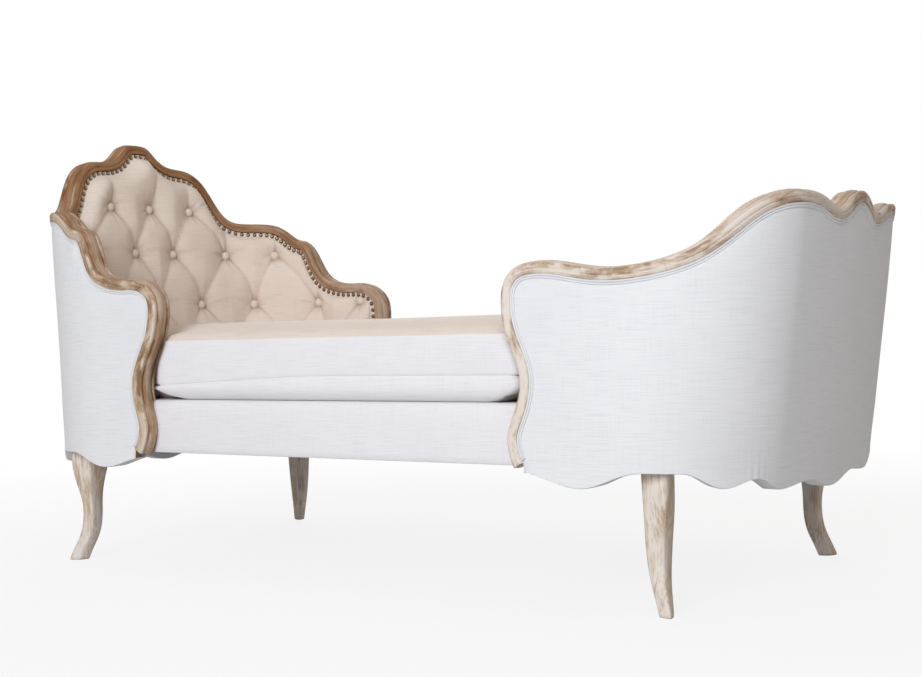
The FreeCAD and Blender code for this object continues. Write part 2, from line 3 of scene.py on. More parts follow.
import bmesh
import bpy
import numpy as np
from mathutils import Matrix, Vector


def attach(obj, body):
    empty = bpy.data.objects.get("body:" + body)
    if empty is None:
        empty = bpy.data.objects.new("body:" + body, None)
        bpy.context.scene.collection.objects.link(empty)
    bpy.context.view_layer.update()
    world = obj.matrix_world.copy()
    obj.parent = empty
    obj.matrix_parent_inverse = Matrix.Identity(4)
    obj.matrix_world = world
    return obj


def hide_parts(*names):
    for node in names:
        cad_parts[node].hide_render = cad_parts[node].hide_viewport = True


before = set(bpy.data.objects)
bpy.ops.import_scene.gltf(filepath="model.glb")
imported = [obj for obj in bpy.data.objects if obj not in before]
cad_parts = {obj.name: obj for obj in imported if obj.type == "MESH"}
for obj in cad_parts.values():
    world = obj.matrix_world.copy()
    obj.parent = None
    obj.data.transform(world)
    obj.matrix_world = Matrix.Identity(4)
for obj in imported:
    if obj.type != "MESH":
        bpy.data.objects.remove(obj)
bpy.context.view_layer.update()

# Double-ended recamier: two barrel ends in linen with a limed oak rim, and a loose seat cushion.
# Sizes are in mm, as in the CAD source, and become metres when a mesh is made.
MM = 0.001
NEAR, FAR = -1, 1
SIDE_NAMES = {NEAR: "near", FAR: "far"}

# Plan of a barrel end at the reference height, and how far its wings lean in, in degrees
REFERENCE_HEIGHT = 260.0
BACK_RADIUS, CORNER_RADIUS = 1560.0, 250.0
WING_HALF_WIDTH, WING_LEAN = 433.0, 3.5
# Front edge of a post: distance from the middle of the seat, height
POST_FRONT = [(458, 602), (439, 577), (434, 545), (447, 478), (475, 405), (465, 348), (451, 305),
              (455, 272), (466, 246)]
POST_BULGE = POST_FRONT[2]
# Samples between two points of the outline, and points mirrored before its first
OUTLINE_DENSITY, MIRRORED_POINTS = 40, 3

# Outer half of the show wood's section: inset from the outer face, height against its ridge
RAIL_DEPTH, RAIL_HEIGHT = 49.0, 24.0
HALF_MOULDING = [(1.0, -24.0), (0.0, -23.0), (0.0, -16.2), (1.5, -15.0), (0.3, -13.6),
                 (0.2, -9.5), (1.5, -5.8), (4.2, -3.0), (7.2, -2.6), (9.6, -4.3),
                 (10.8, -6.4), (12.3, -5.6), (14.2, -2.6), (18.0, -0.8)]
# Grooves that hold glaze, as inset and width, and how much they hold
GROOVES, GROOVE_GLAZE = ((1.5, 1.6), (10.8, 1.9), (38.2, 1.9)), 0.8
WOOD_JOINT = 0.3
# Heights between which the oak turns golden, and how golden it is above
GOLDEN_HEIGHTS, GOLDEN_ABOVE = (640, 880), 0.9

# Panels begin this far below the wood's top edge, and follow its flat section over this reach
PANEL_DROP, WOOD_BLEND = 25.6, 22

# Lower edge of an outside cover: distance round the shell and height of its lobes and notches
SCALLOPS = [(0, 192), (112, 212), (205, 205), (286, 229), (350, 217), (432, 245), (500, 246),
            (613, 218), (735, 242)]
# Offset from the wall beside the wood, and what the flat and the belly of the cover add
COVER_EDGE, COVER_FULL, COVER_BELLY = -4.6, 3.2, 1.8
# Gathers over the notches, their reach, the spacing of their folds, and their rise and wave
GATHERS = (112, 286, 432)
GATHER_WIDTH, GATHER_HEIGHT, GATHER_SPACING = 22, 26, 15
GATHER_RISE, GATHER_WAVE = 0.8, 0.9
# Cloth turned under the apron and up its inner side: offset, lift, and 1 on the upright face
COVER_TURN = [(-2.6, -0.9, 0), (-5.0, -1.5, 0), (-8.5, -1.8, 0), (-16.0, -1.9, 0),
              (-33.0, -1.8, 1), (-34.8, 0.0, 1), (-34.8, 44.0, 1), (-34.1, 44.0, 1),
              (-34.1, -0.2, 1), (-8.0, -0.3, 0), (-5.6, 1.0, 0)]
WELT_RADIUS, WELT_OFFSET, WELT_DROPS, WELT_SIDES = 2.2, -2.4, (26.4, 30.8), 8

# Inside pads, from the wall: face of the solid pad, back, border, width of border and roll
PAD_FACE, PAD_BACK, BORDER_OFFSET = 85.0, -34.6, -45.0
NAIL_BORDER, PAD_ROLL = 13.0, 38.0
# Lower edge, the height where a pad ends at the post, and its tuck behind the post
PAD_BOTTOM, PAD_STOP, PAD_TUCK = 349.0, 363.0, 14.0
# Depth of a button's seat, and what the pad swells inward over it: everywhere, by its pillows,
# and in all where it is flat behind the cushion, up to these heights
BUTTON_SEAT = 62.0
BASE_SWELL, PILLOW_SWELL, FLAT_SWELL = 9, 18, 21
FLAT_HEIGHTS = (488, 530)
# Reach of a button's dip and of a pleat's slopes, which are gentle above and steep below
DIP_REACH, SLOPE_REACH = 30, 24
GENTLE_SIDE, STEEP_SIDE = 0.75, 1.5
# A pleat is deepest within this reach of its button, and keeps this share of its depth
PLEAT_DEEP, PLEAT_KEPT = 58, 0.4
# Puckers round a button, as height, number and shift from button to button, and where they lie
PUCKERS = ((1.3, 7, 2.4), (0.8, 11, 1.0))
PUCKER_RING, PUCKER_WIDTH = 21, 13
# Bow of diagonal pleats, the longest across the middle, and run and spread of rising pleats
PLEAT_BOW, MIDDLE_SPAN = 11.0, 75
RISE, RISE_SPREAD = 240, 1.06
# Cloth-covered button and domed nail, as radius and height over the seat
BUTTON_PROFILE = [(8.5, -3.5), (10.6, -1.0), (11.0, 1.4), (10.4, 3.8), (8.6, 6.2), (5.8, 8.0),
                  (2.6, 8.9), (0.4, 9.1)]
NAIL_PROFILE = [(4.6, -0.6), (5.25, 0.2), (5.0, 1.2), (4.2, 2.0), (2.9, 2.7), (1.3, 3.05),
                (0.15, 3.1)]
# Brightness of each ring of a nail, rim to crown: partly rubbed wear, partly a painted highlight on
# the crown
NAIL_WEAR_AND_HIGHLIGHT = (0.1, 0.15, 0.3, 0.6, 0.9, 1.1, 1.2)
NAIL_PITCH, NAIL_DROP, LOWEST_NAIL = 16.5, RAIL_HEIGHT + 6.6, 430

# Seat: cushion on a deck over the webbing, with ears that reach out between the posts
WEB_TOP, CUSHION_BASE = 349.0, 360.4
CUSHION_EAR_X, CUSHION_EAR_Y = 430.0, WING_HALF_WIDTH - 31.0
CUSHION_GAP, EAR_RADIUS = 3.0, 24.0
# The soft ears fill out to within this of the posts, which a rigid cushion could not pass
EAR_GAP = 4.0
EAR_SPREAD_Y, EAR_SPREAD_SHARE = (380, 391), (0.88, 1.0)
# Crown of the top, and the low waves in it: height, lengths and shifts
CUSHION_CROWN, CROWN_REACH, CROWN_POWER = 31.0, 150.0, 2.2
TOP_WAVE, WAVE_LENGTHS, WAVE_SHIFTS = 1.2, (143, 117), (1.1, 0.4)
# The lower seam runs down towards the head: its lift at the foot, its fall, and where
SEAM_HEIGHT, SEAM_REACH = 402, 14
SEAM_LIFT, SEAM_FALL, SEAM_PLACES = 8, 18.7, (-520, 40)
# Height and inset of the cushion's side, from the top edge to the tucked lower edge
CUSHION_SIDE = [(485.6, 1.4), (484.6, 0.3), (481.5, 0.0), (472, -0.2), (458, -0.6), (443, -0.9),
                (428, -0.7), (414, -0.2), (406, 0.1), (403.4, 0.7), (402.2, 2.4), (401.2, 2.8),
                (399.6, 1.2), (395, -0.6), (389, -0.9), (383, 0.8), (377, 4.2), (371, 9.6),
                (366, 16.0), (362.4, 22.5), (CUSHION_BASE, 28.0)]
# Cloth simulation of the filled cushion, and the most that a point moves: everywhere, more on
# the open sides, and more towards the middle of the top
FILLING = {"quality": 4, "mass": 0.25, "tension_stiffness": 12, "compression_stiffness": 12,
           "bending_stiffness": 0.6, "use_pressure": True, "uniform_pressure_force": 4}
FILLING_STEPS = 20
LEAST_MOVE, SIDE_MOVE, TOP_MOVE = 0.4, 4.5, 5.0
# Rise over the webbing and inset of the deck's edge
DECK_EDGE = [(10.9, 5.0), (9.6, 1.6), (7.0, 0.4), (3.0, 0.3), (0.2, 2.0)]
# Section of a seat rail's cover: outward shift from its face, height
RAIL_COVER_FACE = 396.0
RAIL_COVER = [(0, 250), (0.6, 262), (1.2, 285), (1.4, 305), (1.0, 325), (0.2, 340), (-1.5, 349),
              (-4.5, 355.5), (-9.5, 359.2), (-16, 360.2), (-30, 360.3), (-31, 358.5), (-17, 354),
              (-16.5, 300), (-16.5, 262), (-30, 256), (-30, 249.4), (-3, 248.8), (-0.8, 249.2)]
# Heights of it that meet a post, and how far it runs in behind the post
RAIL_COVER_HEIGHTS, RAIL_COVER_TUCK = (250, 362), 3.0

# Legs: height, outward shift, length on the diagonal, width across it
LEG_FOOT_X, LEG_FOOT_Y = 733.0, WING_HALF_WIDTH - 58.0
LEG_KICK, LEG_HEIGHT = 31.0, 243.0
LEG_SECTIONS = [(0, 31, 43, 26), (26, 20, 42, 31), (55, 7, 42, 37), (95, 0, 42, 45),
                (135, 1, 46, 51), (170, 4, 60, 55), (205, 4, 76, 58), (LEG_HEIGHT, 2, 84, 60)]
# Between 1, a square on its point, and 2, an ellipse
LEG_FULLNESS = 1.22


def run_length(points):
    """Length along a run of points, up to each of them."""
    return np.concatenate([[0], np.cumsum(np.linalg.norm(np.diff(points, axis=0), axis=1))])


def smooth_line(points, density):
    """Curve of even curvature through the points, sampled, with its direction."""
    p = np.array(points, float)
    t = run_length(p)
    h = np.diff(t)
    matrix = np.eye(len(p))
    right = np.zeros_like(p)
    for i in range(1, len(p) - 1):
        matrix[i, i - 1:i + 2] = h[i], 2 * (h[i - 1] + h[i]), h[i - 1]
        right[i] = 3 * (h[i] * (p[i] - p[i - 1]) / h[i - 1] + h[i - 1] * (p[i + 1] - p[i]) / h[i])
    for row, pick in ((0, slice(0, 4)), (-1, slice(-4, None))):
        start = t[row]
        right[row] = [np.polyfit(t[pick] - start, p[pick, k], 3)[2] for k in range(p.shape[1])]
    slope = np.linalg.solve(matrix, right)
    share = np.linspace(0, 1, density, endpoint=False)[:, None]
    step = h[:, None, None]
    a, b, m, n = p[:-1, None], p[1:, None], slope[:-1, None] * step, slope[1:, None] * step
    c, d = 3 * (b - a) - 2 * m - n, 2 * (a - b) + m + n
    line = np.concatenate([*(a + m * share + c * share ** 2 + d * share ** 3), p[-1:]])
    way = np.concatenate(m + 2 * c * share + 3 * d * share ** 2)
    way = np.concatenate([way, way[-1:]])
    return line, way / np.linalg.norm(way, axis=1)[:, None]


def nearest(points, targets):
    """Distance from each point to the nearest target, and which target that is."""
    flat = points.reshape(-1, 2)
    found = []
    for start in range(0, len(flat), 4000):
        block = flat[start:start + 4000]
        square = (block ** 2).sum(1)[:, None] + (targets ** 2).sum(1) - 2 * block @ targets.T
        found.append((np.sqrt(np.maximum(square.min(1), 0)), square.argmin(1)))
    return [np.concatenate(part).reshape(points.shape[:-1]) for part in zip(*found)]


def ease(value, low, high):
    """Smooth step from 0 at low to 1 at high."""
    share = np.clip((np.asarray(value, float) - low) / (high - low), 0, 1)
    return share * share * (3 - 2 * share)


def fade(distance, width, power=2):
    """1 at no distance, falling towards 0 over a width."""
    return np.exp(-(distance / width) ** power)


def between(start, stop, share):
    """Rows from each start to its stop, by shares."""
    return start[:, None] + (stop - start)[:, None] * share


def side_of(value):
    return np.where(value < 0, -1.0, 1.0)


def both_sides(s):
    """Sides that a place is on: one in the middle has no mirror image."""
    return (NEAR, FAR) if s else (FAR,)


class Barrel:
    """One upholstered end on its developed wall: s round the shell, z up."""

    def __init__(self, name, sign, **sizes):
        self.name = name
        self.sign = sign
        vars(self).update(sizes)
        self.back_slope = math.tan(math.radians(self.rake))
        self.wing_slope = math.tan(math.radians(WING_LEAN))
        inner = BACK_RADIUS - CORNER_RADIUS
        self.turn = math.asin((WING_HALF_WIDTH - CORNER_RADIUS) / inner)
        self.centre_x = self.back_x - BACK_RADIUS
        self.corner_x = self.centre_x + inner * math.cos(self.turn)
        self.arc_end = BACK_RADIUS * self.turn
        self.corner_end = self.arc_end + CORNER_RADIUS * (math.pi / 2 - self.turn)
        mirrored = self.crest[1:1 + MIRRORED_POINTS]
        points = [(-s, z) for s, z in reversed(mirrored)] + self.crest
        points += [(self.wing_s(x), z) for x, z in self.arm + POST_FRONT]
        self.line, way = smooth_line(points, OUTLINE_DENSITY)
        start = MIRRORED_POINTS * OUTLINE_DENSITY
        self.half, self.way = self.line[start:], way[start:]
        self.run = run_length(self.half)
        self.bulge = self.place_of(self.wing_s(POST_BULGE[0]), POST_BULGE[1])

    def named(self, *parts):
        return [f"{self.name}_{part}" for part in parts]

    def wing_s(self, x):
        return self.corner_end + self.corner_x - x

    def place_of(self, s, z):
        """Length along the outline to the place nearest to a point."""
        return self.run[np.hypot(self.half[:, 0] - s, self.half[:, 1] - z).argmin()]

    def on_outline(self, place):
        """Outline point and direction at signed lengths from the apex; near is negative."""
        u = np.abs(place)
        return [np.interp(u, self.run, row) for row in (*self.half.T, *self.way.T)]

    def edge(self, place, drop):
        """Developed point at a distance below the wood's top edge, square to the edge."""
        s, z, way_s, way_z = self.on_outline(place)
        return s + way_z * drop, z - way_s * drop

    def plan(self, s):
        """Point, outward normal and tangent of the outer face at the reference height."""
        side = side_of(s)
        a = np.abs(s)
        turn = np.where(a <= self.arc_end, a / BACK_RADIUS,
                        np.minimum(self.turn + (a - self.arc_end) / CORNER_RADIUS, math.pi / 2))
        nx, ny = np.cos(turn), np.sin(turn)
        back = a <= self.arc_end
        x = np.where(back, self.centre_x + BACK_RADIUS * nx,
                     self.corner_x + CORNER_RADIUS * nx - np.maximum(a - self.corner_end, 0))
        y = np.where(back, BACK_RADIUS * ny, WING_HALF_WIDTH - CORNER_RADIUS + CORNER_RADIUS * ny)
        return [np.stack([self.sign * u, side * v, 0 * nx], -1)
                for u, v in ((x, y), (nx, ny), (-ny, nx))]

    def slope(self, normal, upright=False):
        lean = 0.0 if upright else self.wing_slope
        return self.back_slope * normal[..., 0] ** 2 - lean * normal[..., 1] ** 2

    def at(self, s, z, offset, upright=0.0):
        """Place on the shell; upright blends from the leaning face to the upright one."""
        s, z, offset = np.broadcast_arrays(np.asarray(s, float), z, offset)
        point, normal, _ = self.plan(s)
        slope = self.slope(normal) * (1 - upright) + self.slope(normal, True) * upright
        reach = offset + slope * (z - REFERENCE_HEIGHT)
        place = point + normal * reach[..., None]
        place[..., 2] = z
        return place

    def section_axes(self, place):
        """Top outer corner of the wood, and its section's outward and upward directions."""
        s, z, way_s, way_z = self.on_outline(place)
        s = s * side_of(np.asarray(place))
        _, out, along = self.plan(s)
        up = out * self.slope(out)[..., None]
        up[..., 2] += 1
        across = -along * way_z[..., None] + up * way_s[..., None]
        return self.at(s, z, 0), out, across

    def beside_wood(self, place, offset, drop):
        """Place square below the wood's edge, in the plane of its section."""
        origin, out, across = self.section_axes(place)
        return origin + out * offset - across * drop


# Crest, and arm after it: top edge of the wood, as distance round the shell or distance from the
# middle of the seat, and height. Joints: where the rails meet on those. Buttons: height and
# distances round the shell of each row. Hidden row: where pleats end behind the cushion. Rising
# pleats: distance, height and bow. Cloth: width, height and area of the outside cover's cut in
# metres, with the turnings.
head = Barrel(
    "head", -1, back_x=880.0, rake=7.0,
    crest=[(0, 984), (32, 979), (62, 953), (95, 935), (150, 928), (198, 902), (234, 848),
           (268, 802), (320, 791), (392, 783), (436, 759), (462, 744), (492, 737), (516, 716),
           (538, 682), (562, 650), (602, 629)],
    arm=[(544, 622), (492, 619)], joints=[(95, 935), (462, 744), (492, 619)],
    buttons=[(815, (0, 133)), (703, (65, 240, 384)), (575, (0, 145, 318, 542, 690))],
    hidden_row=(447, (72, 232, 430, 616)), pleat_span=185.0,
    rising_pleats=[(0, 815, -26), (133, 815, 12), (240, 703, 6), (384, 703, 0), (542, 575, 0)],
    golden_below=0.55, cloth=(1.52, 0.87, 0.92))
foot = Barrel(
    "foot", 1, back_x=900.0, rake=8.3,
    crest=[(0, 733), (36, 724), (88, 699), (145, 712), (205, 722), (262, 717), (304, 698),
           (350, 661), (398, 627), (450, 609), (520, 599), (590, 600)],
    arm=[(570, 609), (505, 615)], joints=[(88, 699), (450, 609), (505, 615)],
    buttons=[(592, (0, 133, 266)), (523, (65, 200, 384, 560))],
    hidden_row=(455, (0, 133, 290, 470, 640)), pleat_span=180.0,
    rising_pleats=[(0, 592, -10), (133, 592, 6), (266, 592, 4), (384, 523, 0), (560, 523, 0)],
    golden_below=0.1, cloth=(1.54, 0.63, 0.72))
ENDS = (head, foot)


# Materials

def linear(colour):
    """sRGB hex to the linear colour that a shader takes."""
    channels = [int(colour[i:i + 2], 16) / 255 for i in (1, 3, 5)]
    return [c / 12.92 if c <= 0.04045 else ((c + 0.055) / 1.055) ** 2.4 for c in channels] + [1.0]


def feed(node, sockets):
    """Gives each socket a value, an output, or the first output of a node."""
    for socket, value in sockets.items():
        if isinstance(value, bpy.types.Node):
            value = value.outputs[0]
        if isinstance(value, bpy.types.NodeSocket):
            node.id_data.links.new(value, node.inputs[socket])
        else:
            node.inputs[socket].default_value = value


def add(finish, kind, feeds=None, **settings):
    """Adds a node with its settings and what feeds it."""
    node = finish.node_tree.nodes.new("ShaderNode" + kind)
    for name, value in settings.items():
        setattr(node, name, value)
    feed(node, feeds or {})
    return node


def new_finish(name, sockets):
    """Material with one principled shader, and that shader."""
    finish = bpy.data.materials.new(name)
    finish.use_nodes = True
    shader = finish.node_tree.nodes["Principled BSDF"]
    feed(shader, sockets)
    return finish, shader


def colour_steps(finish, share, *stops):
    """Colour ramp from pairs of place and sRGB colour."""
    ramp = add(finish, "ValToRGB", {"Fac": share})
    points = ramp.color_ramp.elements
    while len(points) < len(stops):
        points.new(0.5)
    for point, (place, colour) in zip(points, stops):
        point.position = place
        point.color = linear(colour)
    return ramp


def streaks(finish, place, stretch, scale=1.0, **texture):
    """Noise drawn out by its stretch, as threads, grain and flecks are."""
    run = add(finish, "VectorMath", {0: place, 1: stretch}, operation="MULTIPLY")
    return add(finish, "TexNoise", {"Vector": run, "Scale": scale, **texture})


def coat(finish, shader, colour, height, relief, depth=0.5 * MM):
    """Gives a shader its colour and its relief."""
    bump = add(finish, "Bump", {"Height": height, "Strength": relief, "Distance": depth})
    feed(shader, {"Base Color": colour, "Normal": bump})


# Slub threads are about 0.8 mm wide; they are drawn 2 mm wide, so that they show at this size
SLUB_WIDTH, SLUB_LENGTH = 2.0 * MM, 60 * MM
# Yarn spacing of the weave in the relief, drawn at three times the real 0.9 mm; a wave texture
# has 3.18 waves for each unit of its scale
YARN_SPACING = 2.7 * MM
WAVE_SCALE = 0.314
# Patches where the cloth is duller
PATCH = 160 * MM


def linen(name, yarn, slub, shade, relief):
    """Plain-weave linen: matt and faintly fuzzy, with uneven threads both ways, and a shade colour
    painted in as painted shade where a mark calls for it.
    """
    cloth, shader = new_finish(name, {"Roughness": 0.93, "Sheen Weight": 0.18,
                                      "Sheen Roughness": 0.5, "Specular IOR Level": 0.25})
    weave = add(cloth, "Attribute", attribute_name="weave").outputs["Vector"]
    crossways, upright = (streaks(cloth, weave, stretch, Detail=2.0) for stretch in (
        (1 / SLUB_WIDTH, 1 / SLUB_LENGTH, 1), (1 / SLUB_LENGTH, 1 / SLUB_WIDTH, 1)))
    threads = add(cloth, "Math", {0: crossways, 1: 0.45, 2: upright}, operation="MULTIPLY_ADD")
    level = add(cloth, "MapRange", {"Value": threads, "From Min": 0.45, "From Max": 0.95})
    surface = colour_steps(cloth, level, (0.0, slub), (0.6, yarn), (1.0, yarn))
    patch = add(cloth, "TexNoise", {"Vector": weave, "Scale": 1 / PATCH, "Detail": 2.0})
    dull = add(cloth, "MapRange", {"Value": patch, "From Min": 0.45, "From Max": 0.75,
                                   "To Max": 0.3})
    worn = add(cloth, "Mix", {0: dull, 6: surface, 7: linear(slub)}, data_type="RGBA")
    # Painted shade: a mark mixes the shade colour in, in creases, round buttons and beside the wood
    painted_shade = add(cloth, "Attribute", attribute_name="painted_shade").outputs["Fac"]
    deep = add(cloth, "Mix", {0: painted_shade, 6: worn.outputs[2], 7: linear(shade)}, data_type="RGBA")
    yarns = [add(cloth, "TexWave", {"Vector": weave, "Scale": WAVE_SCALE / YARN_SPACING,
                                    "Distortion": 1.2, "Detail": 1.0},
                 bands_direction=axis).outputs["Fac"] for axis in ("X", "Y")]
    cross = add(cloth, "Math", {0: yarns[0], 1: yarns[1]}, operation="MULTIPLY")
    height = add(cloth, "Math", {0: cross, 1: threads}, operation="ADD")
    coat(cloth, shader, deep.outputs[2], height, relief)
    return cloth


# Cool off-white linen outside: flat, pale, with a faint crossways texture
outside_linen = linen("linen_cool_white", "#e4e6e7", "#d9dbde", "#aeb0b4", 0.3)
# Beige linen inside, on the cushion's top and on the deck, with painted shade where the pleats sink
# in
# Its beige is partly the cloth's own warmer tone and partly painted warm room light, a lit copy of
# the outside linen
inside_linen = linen("linen_warm_beige", "#e5dacf", "#dacdbf", "#8a6a4c", 0.35)
# Boxing of the cushion and the seat rail's front, a shade warmer than the outside
boxing_linen = linen("linen_off_white", "#e7e7e8", "#dddddf", "#aeadb2", 0.3)
# Buttons and welts are cut from the same cloths, drawn tight over their cores; the buttons' beige
# is partly painted warm room light, as inside
button_linen = linen("linen_button_cover", "#e4d8cc", "#d6c7b7", "#a0876e", 0.35)
welt_linen = linen("linen_welt_cord", "#e1e3e4", "#d2d4d8", "#a9abaf", 0.35)

# Oak grain lines are 0.4 to 1 mm wide; they are drawn 3 mm wide to show at this size
GRAIN_WIDTH, GRAIN_LENGTH = 3.0 * MM, 95 * MM
WASH_WIDTH, WASH_LENGTH = 26 * MM, 75 * MM


def limed_oak(name, bare, tan, lime, glaze):
    """Carved oak rubbed with white lime: open grain and hollows hold the white in places."""
    wood, shader = new_finish(name, {"Specular IOR Level": 0.3})
    grain = add(wood, "Attribute", attribute_name="grain").outputs["Vector"]
    pores = streaks(wood, grain, (1 / GRAIN_LENGTH, 1 / GRAIN_WIDTH, 1 / GRAIN_WIDTH),
                    Detail=3.0, Roughness=0.6)
    wash = streaks(wood, grain, (1 / WASH_LENGTH, 1 / WASH_WIDTH, 1 / WASH_WIDTH),
                   Detail=4.0, Roughness=0.65)
    held = add(wood, "Math", {0: pores, 1: 0.8, 2: wash}, operation="MULTIPLY_ADD")
    level = add(wood, "MapRange", {"Value": held, "From Min": 0.62, "From Max": 1.16})
    body = colour_steps(wood, level, (0.0, bare), (0.36, tan), (0.7, lime), (1.0, lime))
    golden = add(wood, "Attribute", attribute_name="golden").outputs["Fac"]
    warm = add(wood, "Mix", {0: golden, 6: body, 7: linear("#a67845")}, data_type="RGBA",
               blend_type="MULTIPLY")
    groove = add(wood, "Attribute", attribute_name="groove").outputs["Fac"]
    hollow = colour_steps(wood, wash, (0.42, glaze), (0.5, tan), (0.56, lime))
    glazed = add(wood, "Mix", {0: groove, 6: warm.outputs[2], 7: hollow}, data_type="RGBA")
    rough = add(wood, "MapRange", {"Value": level, "To Min": 0.56, "To Max": 0.8})
    feed(shader, {"Roughness": rough})
    coat(wood, shader, glazed.outputs[2], pores, 0.6, depth=0.6 * MM)
    return wood


# Rim of the head end: chalky lime over tan oak, dark glaze left in the hollows
rim_oak = limed_oak("limed_oak", "#9a7c5e", "#bda487", "#ddd3c5", "#6e523a")
# Legs and the foot end's rim: more lime left on, so they look chalkier than the head's rim
pale_oak = limed_oak("limed_oak_pale", "#ad937a", "#c9b6a0", "#e2dad0", "#84684e")


def antique_brass():
    """Domed nail heads, chemically darkened; the crown is painted brighter, partly rubbed wear and
    partly a painted highlight.
    """
    metal, shader = new_finish("antique_brass", {"Metallic": 1.0, "Roughness": 0.42})
    rub = add(metal, "Attribute", attribute_name="rub").outputs["Fac"]
    spots = add(metal, "TexNoise", {"Scale": 1 / (3 * MM), "Detail": 2.0})
    tint = add(metal, "Math", {0: rub, 1: spots}, operation="MULTIPLY")
    feed(shader, {"Base Color": colour_steps(metal, tint, (0.12, "#3a2c20"), (0.34, "#6b543c"),
                                             (0.6, "#a08a68"))})
    return metal


nail_brass = antique_brass()


def plain_stuff(name, first, second, speck, roughness, metallic=0.0, stretch=(1, 1, 1),
                relief=0.3):
    """Finish of a part inside the frame, mottled in specks of a size in mm."""
    stuff, shader = new_finish(name, {"Roughness": roughness, "Metallic": metallic})
    place = add(stuff, "TexCoord").outputs["Object"]
    noise = streaks(stuff, place, stretch, scale=1 / (speck * MM), Detail=3.0)
    coat(stuff, shader, colour_steps(stuff, noise, (0.3, first), (0.7, second)), noise, relief)
    return stuff


# Planed beech rails: pale pinkish tan with short flecks along the length
beech = plain_stuff("planed_beech", "#c49a6c", "#dcb98d", 6, 0.6, stretch=(0.12, 1, 1))
# Jute webbing: coarse brown yarn, hairy and matt
jute = plain_stuff("jute_webbing", "#8a6f49", "#b0946a", 4, 0.95, relief=0.8)
# Bonded fibre padding: white, soft and lumpy
fibre = plain_stuff("bonded_fibre", "#dedad0", "#efece4", 14, 0.97, relief=0.8)
# Black non-woven cloth under the seat: dull, with a fine fibrous speckle
dust_cloth = plain_stuff("black_dust_cloth", "#141414", "#232323", 3, 0.95)
# Zinc-plated hanger bolts: pale grey, slightly streaked
zinc = plain_stuff("zinc_plated_steel", "#9fa2a4", "#c6c9ca", 8, 0.38, metallic=1.0)


# Meshes

def placed(name, data):
    """Object in the scene."""
    made = bpy.data.objects.new(name, data)
    bpy.context.scene.collection.objects.link(made)
    return made


def piece(name, points, faces, finish, slot, marks, replaces=(), body="frame", flat=(),
          sharp=None):
    """Object from points in mm, on a body, in place of the CAD nodes that it stands for.

    marks are its attributes; cloth with no painted shade of its own is given none."""
    mesh = bpy.data.meshes.new(name)
    mesh.from_pydata((points.reshape(-1, 3) * MM).tolist(), [], faces)
    smooth = np.ones(len(mesh.polygons), bool)
    smooth[list(flat)] = False
    mesh.polygons.foreach_set("use_smooth", smooth)
    if "weave" in marks:
        marks.setdefault("painted_shade", np.zeros(points.shape[:-1]))
    for mark, values in marks.items():
        vector = values.shape[-1:] == (3,) and values.size == points.size
        attribute = mesh.attributes.new(mark, "FLOAT_VECTOR" if vector else "FLOAT", "POINT")
        attribute.data.foreach_set("vector" if vector else "value",
                                   values.astype(np.float32).ravel())
    if sharp:
        mesh.set_sharp_from_angle(angle=math.radians(sharp))
    made = placed(name, mesh)
    for stuff in finish if isinstance(finish, tuple) else (finish,):
        mesh.materials.append(stuff)
    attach(made, body)
    if replaces:
        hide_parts(*replaces)
    return made


def ring_faces(runs, across, first=0):
    """Faces along a run of closed sections, and the two that close its ends."""
    index = first + np.arange(runs * across).reshape(runs, across)
    side = np.roll(index, -1, axis=1)
    faces = np.stack([index[:-1], side[:-1], side[1:], index[1:]], -1).reshape(-1, 4).tolist()
    return faces, [index[0][::-1].tolist(), index[-1].tolist()]


def many_faces(count, runs, across):
    """Faces of many equal runs of closed sections in one mesh."""
    faces = []
    for i in range(count):
        sides, caps = ring_faces(runs, across, i * runs * across)
        faces += sides + caps
    return faces


def turn_out(made):
    """Makes a closed mesh face outward."""
    shape = bmesh.new()
    shape.from_mesh(made.data)
    if shape.calc_volume(signed=True) < 0:
        made.data.flip_normals()
    shape.free()
    return made


def swept(name, rings, finish, slot, **more):
    """Closed piece along a run of sections."""
    faces, caps = ring_faces(*rings.shape[:2])
    flat = range(len(faces), len(faces) + 2)
    return turn_out(piece(name, rings, faces + caps, finish, slot, flat=flat, **more))


def listed(*fields):
    """List of points from fields of x, y and z."""
    return np.stack(np.broadcast_arrays(*fields), -1).reshape(-1, len(fields))


def vector_mark(*fields):
    """Three-part attribute in metres from fields in mm."""
    return np.stack(np.broadcast_arrays(*fields), -1) * MM


# Show wood

def moulding():
    """Section of the wood: beads at both edges, grooves, and a broad ridge between them."""
    mirrored = [(RAIL_DEPTH - u, h) for u, h in reversed(HALF_MOULDING)]
    return np.array(HALF_MOULDING + [(RAIL_DEPTH / 2, 0.0)] + mirrored)


def rail(end, name, start, stop):
    """Moulded length of the rim between two signed places on the outline."""
    inset, rise = moulding().T
    place = np.linspace(start + WOOD_JOINT / 2, stop - WOOD_JOINT / 2, int((stop - start) / 5) + 2)
    origin, out, across = end.section_axes(place)
    rings = origin[:, None] - out[:, None] * inset[:, None] + across[:, None] * rise[:, None]
    # The grain runs on from rail to rail, and each end has its own
    grain = vector_mark(place[:, None] + 9000 * end.sign, inset, rise)
    groove = np.clip(sum(fade(inset - u, w) for u, w in GROOVES), 0, 1) * GROOVE_GLAZE
    gain = (GOLDEN_ABOVE - end.golden_below) * ease(end.on_outline(place)[1], *GOLDEN_HEIGHTS)
    golden = (end.golden_below + gain)[:, None]
    marks = {"grain": grain, "groove": np.broadcast_to(groove, rings.shape[:2]),
             "golden": np.broadcast_to(golden, rings.shape[:2])}
    return swept(name + "_carved", rings, rim_oak if end is head else pale_oak, "show_wood",
                 replaces=(name,), marks=marks, sharp=48)


